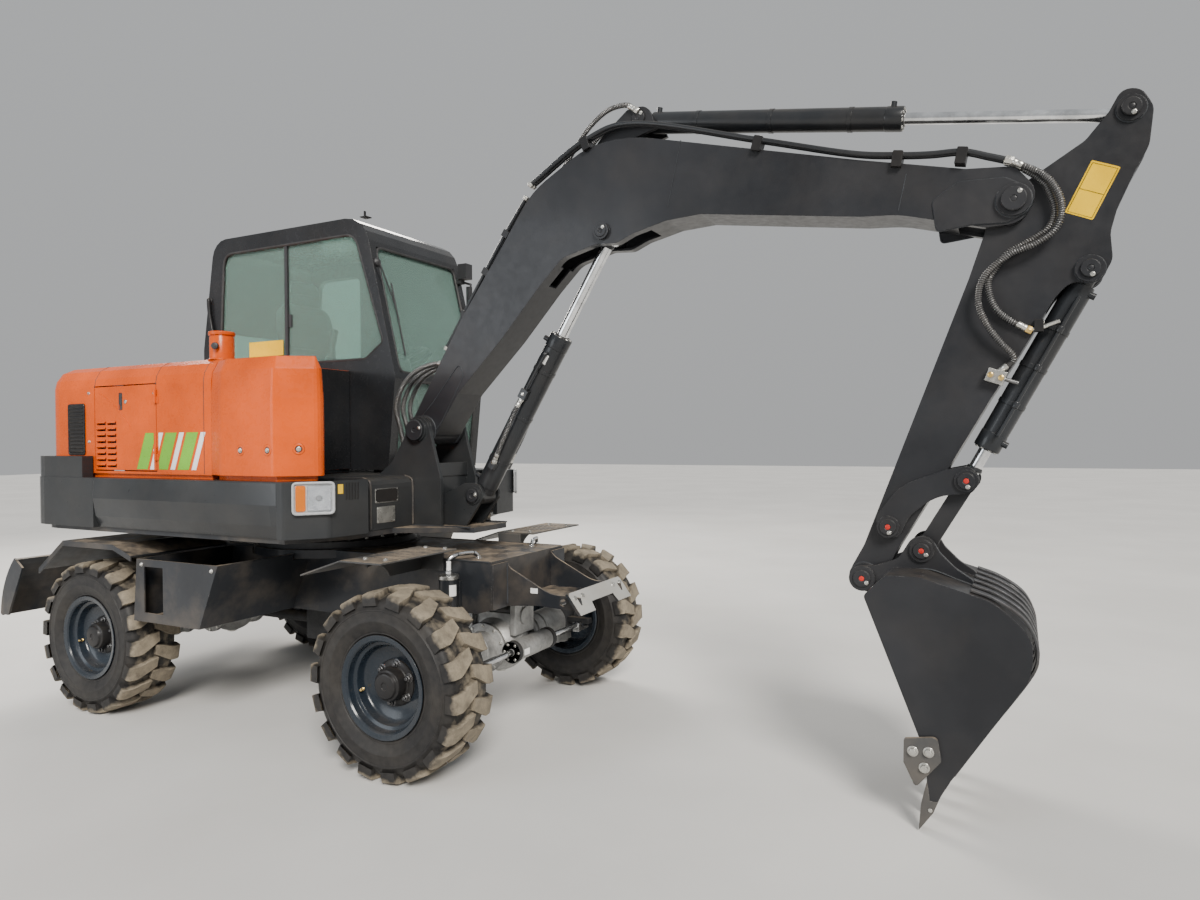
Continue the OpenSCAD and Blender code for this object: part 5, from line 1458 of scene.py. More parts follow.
    def cylinders(self) -> None:
        """Dress the three large cylinders, and lengthen every rod."""
        self.cylinder("boom_cyl", BOOM_CYLINDER, 0.960, 0.058, 0.029, 1.518, (0.10, 0.88, 0))
        self.cylinder("arm_cyl", ARM_CYLINDER, 1.195, 0.050, 0.025, 2.001, (0.16, 1.10, 0))
        self.cylinder("bucket_cyl", BUCKET_CYLINDER, 0.760, 0.050, 0.025, 0.902, (0.12, 0.68, -1))
        self.rod_tail("boom_cyl_rod", BOOM_CYLINDER, 0.960, 0.306, 0.0288, (0.0,))
        self.rod_tail("arm_cyl_rod", ARM_CYLINDER, 1.195, 0.085, 0.0248, (0.0,))
        self.rod_tail("bucket_cyl_rod", BUCKET_CYLINDER, 0.760, 0.615, 0.0248, (0.0,))
        self.rod_tail("blade_rod", BLADE_CYLINDER, 0.250, 0.224, 0.0158, (-0.220, 0.220))

    def boom_cylinder_hoses(self) -> None:
        """Lay a hose, its two plates, a steel pipe and a blank label on each side of the boom cylinder."""
        line = BOOM_CYLINDER
        label_radius, along_label = 0.0588, (0.800, 0.850)
        plates = (rectangle((0.590, -0.016), (0.640, 0.028)), rectangle((0.180, -0.032), (0.215, 0.000)))
        pipe = ((0.635, 0.006, 0.074), (0.720, 0.004, 0.074), (0.840, 0.0, 0.071), (0.862, 0.0, 0.052))
        route = ((0.585, 0.006, 0.072), (0.545, 0.004, 0.085), (0.450, -0.004, 0.088),
                 (0.340, -0.012, 0.087), (0.225, -0.016, 0.078))
        form = Form()
        for side in Side:
            s = side.value
            hose(form, [line.at(along, up, s * y) for along, up, y in route], HOSE_RADIUS, (0.06, 0.93))
            low, high = sorted((s * 0.050, s * 0.088))
            for plate in plates:
                form.plate([line.flat(*c) for c in plate], low, high, 4)
            form.bolt(line.at(0.615, 0.006, s * 0.088), (0, s, 0), 0.014, 2)
            form.tube(spline([line.at(along, up, s * y) for along, up, y in pipe], 6), 0.0075, 12, 4)
            angles = [math.radians(8 * i - 16) for i in range(5)]
            label = [line.at(along, label_radius * math.sin(a), s * label_radius * math.cos(a))
                     for along in along_label for a in angles]
            form.add(label, [(i, i + 1, i + 6, i + 5) for i in range(4)], slot=5)
        piece("boom_cyl_hoses", form,
              [Look.HOSE, Look.SPRING, Look.ZINC, Look.BRASS, Look.CYLINDER, Look.WHITE], "boom_cyl")

    def bucket(self) -> None:
        """Add the wear strips, the side cutters' bolts, the tooth keepers and the ears' welds."""
        form = Form()
        back = [(0.10, 0.405), (0.150, 0.478), (0.225, 0.545), (0.300, 0.566), (0.370, 0.560),
                (0.440, 0.515), (0.600, 0.340), (0.760, 0.168)]
        curve = spline([BUCKET.at(*p) for p in back], 8)
        for i in range(6):
            y = -0.29 + 0.116 * i
            rows = [(p.x, p.z) for p in curve]
            outer = []
            for k, (x, z) in enumerate(rows):
                before, after = Vector(rows[max(k - 1, 0)]), Vector(rows[min(k + 1, len(rows) - 1)])
                way = (after - before).normalized()
                outer.append((x - way.y * 0.010, z + way.x * 0.010))
            form.plate(outer + rows[::-1], y - 0.020, y + 0.020, 0)
        for side in Side:
            for along, up in ((0.640, 0.060), (0.650, 0.115), (0.705, 0.085)):
                form.bolt(BUCKET.at(along, up, side.value * 0.3663), (0, side.value, 0), 0.030, 1)
            edge = [(0.02, 0.13), (0.010, 0.250), (0.080, 0.365), (0.150, 0.468)]
            form.tube(spline([BUCKET.at(*p, side.value * 0.128) for p in edge], 6), 0.004, 8, 2)
        for i in range(5):
            y = -0.32 + 0.16 * i
            form.lathe([(0.008, -0.034), (0.008, 0.034)], 14,
                       facing(BUCKET.at(0.868, 0.062, y), (0, 1, 0)), 1)
        piece("bucket_wear_parts", form, [Look.WEAR, Look.ZINC, Look.WELD], "bucket_body", bevel=0.0015)

    def build(self) -> None:
        """Build the whole working gear."""
        self.side_pipes()
        self.back_pipes()
        self.hoses()
        self.arm_fittings()
        self.pins()
        self.collars()
        self.stickers()
        self.cylinders()
        self.boom_cylinder_hoses()
        self.bucket()


# House


def clip(outline: Sequence[Flat], limit: float, below: bool) -> list[Flat]:
    """Cut an outline at a line of constant first coordinate.

    Args:
        outline: the outline.
        limit: where the line runs.
        below: True to keep what lies below the limit, False for what lies above it.

    Returns:
        The part that is kept.
    """
    sign = 1.0 if below else -1.0
    kept: list[Flat] = []
    for a, b in zip(outline, [*outline[1:], outline[0]]):
        room_a, room_b = sign * (limit - a[0]), sign * (limit - b[0])
        if room_a >= 0:
            kept.append(a)
        if room_a * room_b < 0:
            share = room_a / (room_a - room_b)
            kept.append((limit, a[1] + share * (b[1] - a[1])))
    return kept


def seal(form: Form, corners: Sequence[Point], radius: float, slot: int = 0) -> None:
    """Lay a rubber bead round a window whose corners are given in order."""
    form.tube([*corners, corners[0], corners[1]], radius, 8, slot)


@dataclass
class House:
    """What dresses the turning house: doors, grilles, lamps, plates, stripes and bolts."""

    side_y: float = -0.880
    tank_y: float = -0.930
    seam_x: float = -1.559
    panel_x: float = -0.448
    hood_top: float = 1.918

    def stripes(self) -> None:
        """Stick plain slanted stripes on the hood's right side, across the seam of its door."""
        door, panel = Form(), Form()
        low, high, slant = 1.352, 1.545, 0.075
        starts = ((-1.725, 0.090, 0), (-1.615, 0.036, 1), (-1.560, 0.090, 0), (-1.450, 0.036, 1),
                  (-1.395, 0.090, 0), (-1.285, 0.036, 1))
        for start, width, slot in starts:
            bar = [(start, low), (start + width, low), (start + width + slant, high), (start + slant, high)]
            for form, kept in ((door, clip(bar, self.seam_x - 0.022, True)),
                               (panel, clip(bar, self.seam_x + 0.018, False))):
                if len(kept) > 2:
                    form.plate(kept, self.side_y - 0.0006, self.side_y - 0.0001, slot)
        piece("door_stripes", door, [Look.LIME, Look.WHITE], "side_door")
        piece("hood_stripes", panel, [Look.LIME, Look.WHITE], "house")

    def side_door(self) -> None:
        """Add the side door's louvres with a dark sheet of painted shade behind them, its crease, handle,
        lock and bolts.
        """
        form = Form()
        y = self.side_y
        across = Matrix(((0, 0, 1, 0), (-1, 0, 0, 0), (0, 1, 0, 0), (0, 0, 0, 1)))
        for column in range(2):
            for row in range(8):
                x = -2.067 + 0.092 * column
                z = 1.376 + 0.033 * row
                lip = [(0.0, 0.002), (0.007, -0.006), (0.0085, -0.005), (0.0085, -0.002), (0.002, 0.006),
                       (0.0, 0.006)]
                form.prism(lip, 0.0, 0.076, Matrix.Translation((x, y, z)) @ across, 0)
        # dark sheet inside the door: painted shade of the hood's inside, seen through the louvres
        form.box((-2.078, y + 0.028, 1.350), (-1.888, y + 0.030, 1.618), slot=1)
        crease = [(-2.050, y, 1.770), (-1.990, y, 1.742), (-1.910, y, 1.696), (-1.840, y, 1.640),
                  (-1.779, y, 1.580)]
        form.tube(spline(crease, 8), 0.0025, 8, 0)
        cup = soft_box((-1.873, 1.668), (-1.840, 1.766), 0.008, 4)
        form.plate(cup, y + 0.014, y + 0.002, 1)
        edge = soft_box((-1.869, 1.672), (-1.844, 1.762), 0.006, 4)
        form.tube([(x, y - 0.0005, z) for x, z in [*edge, edge[0], edge[1]]], 0.0022, 8, 1)
        form.plate(rectangle((-1.864, 1.700), (-1.849, 1.756)), y + 0.004, y - 0.002, 1)
        form.lathe([(0.011, 0.0), (0.011, 0.002), (0.009, 0.003), (0.002, 0.003), (0.002, 0.001)], 24,
                   facing((-1.815, y, 1.715), RIGHT), 2)
        for z in (1.400, 1.700):
            form.bolt((self.seam_x - 0.014, y - 0.004, z + 0.052), RIGHT, 0.009, 2)
        piece("side_door_trim", form, [Look.HOOD, Look.PLASTIC, Look.ZINC], "side_door")

    def hood_trim(self) -> None:
        """Add the grille at the rear corner, the hood's bolts and seams, and the dark sheet of painted
        shade by the cab.
        """
        form = Form()
        y = self.side_y
        grille = soft_box((-2.325, 1.430), (-2.178, 1.710), 0.012, 4)
        form.plate(grille, y + 0.001, y - 0.004, 0)
        form.tube([(x, y - 0.004, z) for x, z in [*grille, grille[0]]], 0.004, 8, 0)
        for i in range(13):
            z = 1.446 + 0.0205 * i
            slat = Matrix.Translation((0, y - 0.0055, z)) @ Matrix.Rotation(math.radians(35), 4, "X")
            form.box((-2.312, -0.0055, -0.001), (-2.190, 0.0055, 0.001), slat, 0)
        for z in (1.500, 1.770):
            form.bolt((-2.140, y, z), RIGHT, 0.013, 1)
        # seams between the hood's sheets, up its side and over its top
        over = [(y, 1.798), (y + 0.008, self.hood_top - 0.0744), (y + 0.035, self.hood_top - 0.0264),
                (y + 0.080, self.hood_top), (0.064, self.hood_top)]
        for x, low in ((-2.0865, 1.806), (-1.5605, 1.806), (-1.186, 1.333)):
            form.tube([(x, y, low), *((x, b, z) for b, z in over)], 0.0019, 6, 2)
        # the dark sheet between the tank's cover and the cab, and the strip under it, both painted shade in
        # the gaps there
        form.box((-1.1296, -0.590, 1.327), (-1.1270, 0.0706, 1.9165), slot=3)
        form.box((-1.1438, -0.600, 1.3060), (-1.1415, 0.0706, 1.3255), slot=3)
        piece("hood_trim", form, [Look.BLACK, Look.ZINC, Look.SEAL, Look.CAB], "house")

    def tank_trim(self) -> None:
        """Add the sunk bolts of the tank's cover."""
        form = Form()
        nose = (0.629, -0.777, 0.0)
        for spot, way in (((-0.862, self.tank_y, 1.453), RIGHT), ((-0.678, self.tank_y, 1.453), RIGHT),
                          ((-0.551, -0.858, 1.458), nose)):
            place = facing(spot, way)
            form.ring([(0.028, 0.0), (0.025, 0.0016), (0.019, 0.0016), (0.014, 0.0)], 40, place, 0)
            # black disc round each bolt: painted shade in the sunk dimple
            form.lathe([(0.016, 0.0), (0.016, 0.0007)], 32, place, 1)
            form.bolt(spot, way, 0.017, 2)
        piece("tank_trim", form, [Look.HOOD, Look.BLACK, Look.ZINC], "house")

    def rail_and_post(self) -> None:
        """Build the grab rail on the cab's rear pillar and the orange post with its black knob."""
        form = Form()
        y = 0.0660
        route = [(-2.264, y + 0.012, 2.118), (-2.266, y, 2.130), (-2.325, y, 2.198), (-2.362, y, 2.333),
                 (-2.374, y, 2.440), (-2.375, y + 0.012, 2.452)]
        form.tube(spline(route, 8), 0.0125, 16, 0)
        for x, z in ((-2.264, 2.124), (-2.375, 2.446)):
            form.lathe([(0.022, 0.0), (0.022, 0.004), (0.014, 0.008)], 24, facing((x, 0.0805, z), RIGHT), 0)
        post = facing((-1.215, -0.746, 1.9175), UP)
        form.lathe([(0.060, 0.0), (0.060, 0.118), (0.0575, 0.122), (0.0575, 0.126), (0.064, 0.128),
                    (0.065, 0.131), (0.065, 0.142), (0.062, 0.1465), (0.030, 0.1485)], 64, post, 1)
        form.ring([(0.0595, 0.0), (0.068, 0.0), (0.067, 0.003), (0.0605, 0.008)], 64, post, 1)
        knob = facing((-1.215 + 0.058 * 0.45, -0.746 - 0.058 * 0.89, 1.985), (0.45, -0.89, 0))
        form.lathe([(0.007, -0.002), (0.007, 0.010), (0.017, 0.012), (0.0185, 0.018), (0.017, 0.027),
                    (0.010, 0.030)], 28, knob, 2)
        piece("rail_and_post", form, [Look.BLACK, Look.HOOD, Look.PLASTIC], "house")
        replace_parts(bpy.data.objects["rail_and_post"], "handrail")

    def headlamps(self) -> None:
        """Build both headlamps: a pale body, a clear lens and an amber turn signal at the outer end."""
        form = Form()
        angle = math.radians(39)
        for side in Side:
            out = side.value
            way = (math.cos(angle), out * math.sin(angle), 0.0)
            inward = Vector((math.sin(angle), -out * math.cos(angle), 0.0))
            spot = Vector((-0.484, out * 0.866, 1.228)) + 0.0225 * inward - 0.005 * Vector(way)
            place = facing(spot, way)
            rim = soft_box((-0.0915, -0.0725), (0.0915, 0.0725), 0.018, 5)
            form.prism(rim, 0.0, 0.012, place, 0)
            lip = [(x * 0.99, y * 0.99, 0.016) for x, y in rim]
            form.tube([place @ Vector(p) for p in [*lip, lip[0], lip[1]]], 0.0065, 10, 0)
            split = out * 0.033
            low, high = sorted((split + out * 0.003, out * 0.080))
            form.prism(soft_box((low, -0.060), (high, 0.060), 0.010, 4), 0.0125, 0.0185, place, 2)
            low, high = sorted((split - out * 0.003, -out * 0.080))
            form.prism(soft_box((low, -0.060), (high, 0.060), 0.010, 4), 0.0125, 0.0185, place, 1)
            form.box((low + 0.002, -0.058, 0.0120), (high - 0.002, 0.058, 0.0124), place, 3)
            form.lathe([(0.014, 0.0123), (0.014, 0.0140), (0.010, 0.0165)], 24,
                       place @ Matrix.Translation(((low + high) / 2, 0, 0)), 0)
            for i in range(7):
                x = low + (high - low) * (i + 0.5) / 7
                form.box((x - 0.0006, -0.054, 0.0184), (x + 0.0006, 0.054, 0.0191), place, 1)
        made = piece("headlamp_pair", form, [Look.CLEAR, Look.LENS, Look.AMBER, Look.CHROME], "house")
        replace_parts(made, "headlamps")

    def front_panel(self) -> None:
        """Add the vent slots as black patches of painted shade, the blank label and plates and the pressed
        ribs on the front of the house.
        """
        form = Form()
        # vent slots drawn as black patches: painted shade inside the openings
        vents = facing((-0.4125, -0.6565, 1.252), (0.991, -0.129, 0))
        for i in range(5):
            x = -0.034 + 0.017 * i
            form.prism(soft_box((x - 0.0045, -0.042), (x + 0.0045, 0.042), 0.004, 4), -0.001, 0.0012,
                       vents, 1)
        form.prism(rectangle((-0.084, -0.010), (-0.054, 0.036)), 0.0002, 0.0009, vents, 2)
        x = self.panel_x
        plates = (((-0.461, -0.288), (1.176, 1.250), 1, 3), ((-0.448, -0.312), (1.072, 1.156), 3, 3))
        for (y0, y1), (z0, z1), face, rim in plates:
            spot = facing((x, (y0 + y1) / 2, (z0 + z1) / 2), (1, 0, 0))
            w, h = (y1 - y0) / 2, (z1 - z0) / 2
            form.prism(soft_box((-w, -h), (w, h), 0.005, 3), 0.0, 0.0010, spot, rim)
            form.prism(rectangle((-w + 0.004, -h + 0.004), (w - 0.004, h - 0.004)), 0.0010, 0.0013, spot,
                       face)
            for a in (-1, 1):
                for b in (-1, 1):
                    form.lathe([(0.0028, 0.0), (0.0025, 0.0022), (0.001, 0.0028)], 12,
                               spot @ Matrix.Translation((a * (w - 0.008), b * (h - 0.008), 0.0008)), 3)
        # ribs that run up the panel and over its edge
        for y in (-0.493, -0.172):
            rib = [(x + 0.001, y, 1.045), (x + 0.001, y, 1.255), (x - 0.014, y, 1.292),
                   (x - 0.052, y, 1.304)]
            form.tube(spline(rib, 6), 0.006, 10, 0)
        piece("front_panel_trim", form, [Look.FRAME, Look.BLACK, Look.YELLOW, Look.ZINC], "house")

    def skirt_trim(self) -> None:
        """Skin the skirts with their pressed panels, which bulge to a crease and fade out at their ends."""
        form = Form()
        y = 0.950
        # height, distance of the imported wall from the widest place, and how far the panel stands off it
        section = ((1.300, 0.0, 0.0005), (1.196, 0.0, 0.0095), (1.188, 0.0, 0.0085),
                   (1.100, 0.012, 0.0075), (1.040, 0.033, 0.001))
        stations = ((-1.9985, 0.2), (-1.985, 1.0), (-0.640, 1.0), (-0.601, 0.1))
        for side in Side:
            points = [(x, side.value * (y - back + share * lift), z) for x, share in stations
                      for z, back, lift in section]
            points += [(x, side.value * (y - back - 0.001), z) for x, _ in stations for z, back,
                       _ in section]
            rows, n = len(section), len(section) * len(stations)
            faces = []
            for k in range(len(stations) - 1):
                for i in range(rows - 1):
                    quad = (k * rows + i, k * rows + i + 1, (k + 1) * rows + i + 1, (k + 1) * rows + i)
                    faces += [quad, tuple(n + c for c in quad[::-1])]
                for i in (0, rows - 1):
                    rim = (k * rows + i, (k + 1) * rows + i, n + (k + 1) * rows + i, n + k * rows + i)
                    faces.append(rim if i == 0 else rim[::-1])
            for k in (0, len(stations) - 1):
                for i in range(rows - 1):
                    cap = (k * rows + i, n + k * rows + i, n + k * rows + i + 1, k * rows + i + 1)
                    faces.append(cap if k == 0 else cap[::-1])
            form.add(points, faces if side is Side.RIGHT else [f[::-1] for f in faces], slot=0)
        piece("skirt_panels", form, [Look.SKIRT], "house", smooth=8.0)

    def bracket_trim(self) -> None:
        """Weld the boom bracket's plates, and cap the boom's foot pin and the boom cylinder's pin."""
        form = Form()
        for side in Side:
            out = (0, side.value, 0)
            for x, z, y, radius in ((-0.415, 1.550, 0.192, 0.056), (-0.110, 1.200, 0.096, 0.036)):
                place = facing((x, side.value * y, z), out)
                form.lathe([(radius, -0.004), (radius, 0.005), (radius - 0.004, 0.008), (0.014, 0.008),
                            (0.011, 0.004)], 40, place, 0)
                form.bolt(place @ Vector((radius * 0.66, radius * 0.2, 0.008)), out, 0.015, 1)
            form.tube([(-0.700, side.value * 0.172, 1.0395), (-0.300, side.value * 0.172, 1.0395),
                       (-0.070, side.value * 0.172, 1.0395)], 0.004, 8, 2)
        piece("bracket_caps", form, [Look.BOOM, Look.ZINC, Look.WELD], "house")

    def build(self) -> None:
        """Build everything on the house."""
        self.stripes()
        self.side_door()
        self.hood_trim()
        self.tank_trim()
        self.rail_and_post()
        self.headlamps()
        self.front_panel()
        self.skirt_trim()
        self.bracket_trim()


# Cab


@dataclass
class Cab:
    """Window seals, wiper, door handle, seat and controls of the cab."""

    right_y: float = 0.080
    left_y: float = 0.950
    middle_y: float = 0.515
    floor_z: float = 1.368

    @staticmethod
    def front(z: float) -> float:
        """Return the X of the windscreen's plane at a height."""
        return -0.780 - (z - 1.871) * 0.230 / (2.840 - 1.871)

    def seals(self) -> None:
        """Lay the rubber beads round every window."""
        form = Form()
        side = rounded([(-2.290, 1.985, 0.06), (-1.010, 1.985, 0.04), (-0.870, 2.080, 0.04),
                        (-1.085, 2.740, 0.11), (-2.240, 2.740, 0.09)])
        seal(form, [(x, self.right_y + 0.006, z) for x, z in side], 0.009)
        rear_left = rounded([(-2.290, 1.985, 0.06), (-1.820, 1.985, 0.04), (-1.820, 2.700, 0.06),
                             (-2.240, 2.700, 0.09)])
        seal(form, [(x, self.left_y - 0.006, z) for x, z in rear_left], 0.009)
        screen = rounded([(0.135, 1.900, 0.05), (0.895, 1.900, 0.05), (0.895, 2.660, 0.06),
                          (0.135, 2.660, 0.06)])
        seal(form, [(self.front(z) - 0.006, y, z) for y, z in screen], 0.009)
        lower = soft_box((0.140, 1.400), (0.890, 1.850), 0.04)
        seal(form, [(-0.840 + (z - 1.322) * 0.060 / 0.549 - 0.006, y, z) for y, z in lower], 0.009)
        rear = rounded([(0.170, 2.000, 0.05), (0.860, 2.000, 0.05), (0.860, 2.650, 0.06),
                        (0.170, 2.650, 0.06)])
        seal(form, [(self.rear(z) + 0.006, y, z) for y, z in rear], 0.009)
        # bar where the side window slides
        form.box((-1.682, self.right_y + 0.004, 1.990), (-1.658, self.right_y + 0.022, 2.736), slot=1)
        form.box((-1.655, self.right_y + 0.010, 2.220), (-1.630, self.right_y + 0.024, 2.300), slot=1)
        # blank label low on the right window
        form.plate(rectangle((-2.013, 2.045), (-1.702, 2.142)), self.right_y + 0.0075,
                   self.right_y + 0.0070, 2)
        piece("window_seals", form, [Look.SEAL, Look.PLASTIC, Look.YELLOW], "house")

    @staticmethod
    def rear(z: float) -> float:
        """Return the X of the cab's rear face at a height."""
        return -2.446 + max(0.0, z - 2.115) * 0.116 / 0.725

    def wiper(self) -> None:
        """Add the wiper on the windscreen's right side, with its motor cap."""
        form = Form()
        out = Vector((0.973, 0.0, 0.231))

        def on_screen(y: float, z: float, lift: float) -> Vector:
            """Return the point at a height that stands off the windscreen by lift."""
            return Vector((self.front(z), y, z)) + out * lift

        form.lathe([(0.026, 0.0), (0.026, 0.012), (0.020, 0.018), (0.010, 0.026)], 28,
                   facing(on_screen(0.112, 2.560, 0.0), out), 0)
        arm = [on_screen(0.112, 2.560, 0.022), on_screen(0.135, 2.480, 0.020),
               on_screen(0.185, 2.330, 0.012), on_screen(0.205, 2.220, 0.008)]
        form.tube(spline(arm, 6), 0.0045, 10, 0)
        form.tube([on_screen(0.205, z, 0.006) for z in (2.010, 2.220, 2.440)], 0.004, 10, 0)
        form.tube([on_screen(0.205, z, 0.002) for z in (2.000, 2.220, 2.450)], 0.0035, 8, 1)
        piece("wiper", form, [Look.PLASTIC, Look.SEAL], "house")

    def seat(self) -> None:
        """Stuff the seat's cushions and build what carries them."""
        y = self.middle_y
        form = Form()
        form.merge(cushion((-1.660, y, 1.797), (0.500, 0.480, 0.115), lean=-2.0))
        form.merge(cushion((-1.935, y, 2.120), (0.115, 0.440, 0.640), lean=-8.5))
        form.merge(cushion((-1.985, y, 2.505), (0.080, 0.260, 0.190), lean=-5.0))
        made = piece("seat_cushions", form, [Look.FABRIC, Look.PLASTIC], "house", smooth=60)
        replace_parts(made, "seat")
        form = Form()
        form.box((-1.850, y - 0.170, self.floor_z), (-1.510, y + 0.170, 1.400), slot=0)
        folds = [(0.165 if i % 2 else 0.150, 1.400 + 0.030 * i) for i in range(11)]
        form.lathe(folds, 4,
                   Matrix.Translation((-1.680, y, 0)) @ Matrix.Rotation(math.radians(45), 4, "Z"), 1)
        form.box((-1.880, y - 0.190, 1.700), (-1.450, y + 0.190, 1.742), slot=0)
        for post_y in (y - 0.06, y + 0.06):
            form.tube([(-1.965, post_y, 2.400), (-1.975, post_y, 2.440)], 0.006, 10, 2)
        piece("seat_base", form, [Look.PLASTIC, Look.SEAL, Look.CHROME], "house", bevel=0.004)

    def levers(self) -> None:
        """Add the levers' boots and knobs, the steering wheel's hub and the pedals."""
        form = Form()
        y = self.middle_y
        for side in Side:
            lever_y = y + side.value * 0.320
            spot = Vector((-1.380, lever_y, 2.140))
            way = Vector((0.040, 0.0, 0.185)).normalized()
            form.lathe([(0.014, -0.060), (0.021, -0.050), (0.024, -0.020), (0.023, 0.020), (0.027, 0.045),
                        (0.020, 0.060)], 28,
                       facing(spot, way), 0)
            boot = [(0.052 - 0.004 * i + (0.006 if i % 2 else 0.0), 0.010 * i) for i in range(8)]
            form.lathe(boot, 28, facing(spot - way * 0.185, way), 1)
            form.box((-1.700, lever_y - 0.045, 1.961), (-1.480, lever_y + 0.045, 1.985), slot=1)
        form.lathe([(0.035, 0.0), (0.042, 0.010), (0.030, 0.026)], 32,
                   facing((-1.097, y, 2.024), (0.342, 0, 0.940)), 0)
        for a in (-1, 1):
            pedal = Matrix.Translation((-1.000, y + a * 0.140,
                                        1.385)) @ Matrix.Rotation(math.radians(-35), 4, "Y")
            form.box((-0.060, -0.035, 0.0), (0.060, 0.035, 0.012), pedal, 1)
        piece("lever_knobs", form, [Look.KNOB, Look.SEAL], "house", bevel=0.002)

    def door_trim(self) -> None:
        """Add the door's seal and its handle, and the roof's small bracket."""
        form = Form()
        pane = rounded([(-1.700, 1.900, 0.05), (-0.905, 1.900, 0.05), (-1.078, 2.640, 0.07),
                        (-1.700, 2.640, 0.06)])
        seal(form, [(x, 0.944, z) for x, z in pane], 0.008)
        form.box((-1.735, 0.9505, 1.780), (-1.600, 0.958, 1.850), slot=1)
        form.tube([(-1.720, 0.953, 1.815), (-1.715, 0.966, 1.815), (-1.630, 0.966, 1.815),
                   (-1.622, 0.953, 1.815)], 0.006, 10, 1)
        piece("door_trim", form, [Look.SEAL, Look.PLASTIC], "door")
        form = Form()
        form.box((-1.060, 0.100, 2.8390), (-1.010, 0.150, 2.8440), slot=0)
        form.box((-1.045, 0.118, 2.8440), (-1.039, 0.132, 2.8800), slot=0)
        form.bolt((-1.052, 0.125, 2.8440), UP, 0.012, 1)
        piece("roof_bracket", form, [Look.BLACK, Look.ZINC], "house")

    def build(self) -> None:
        """Build everything on and in the cab."""
        self.seals()
        self.wiper()
        self.seat()
        self.levers()
        self.door_trim()


# Undercarriage


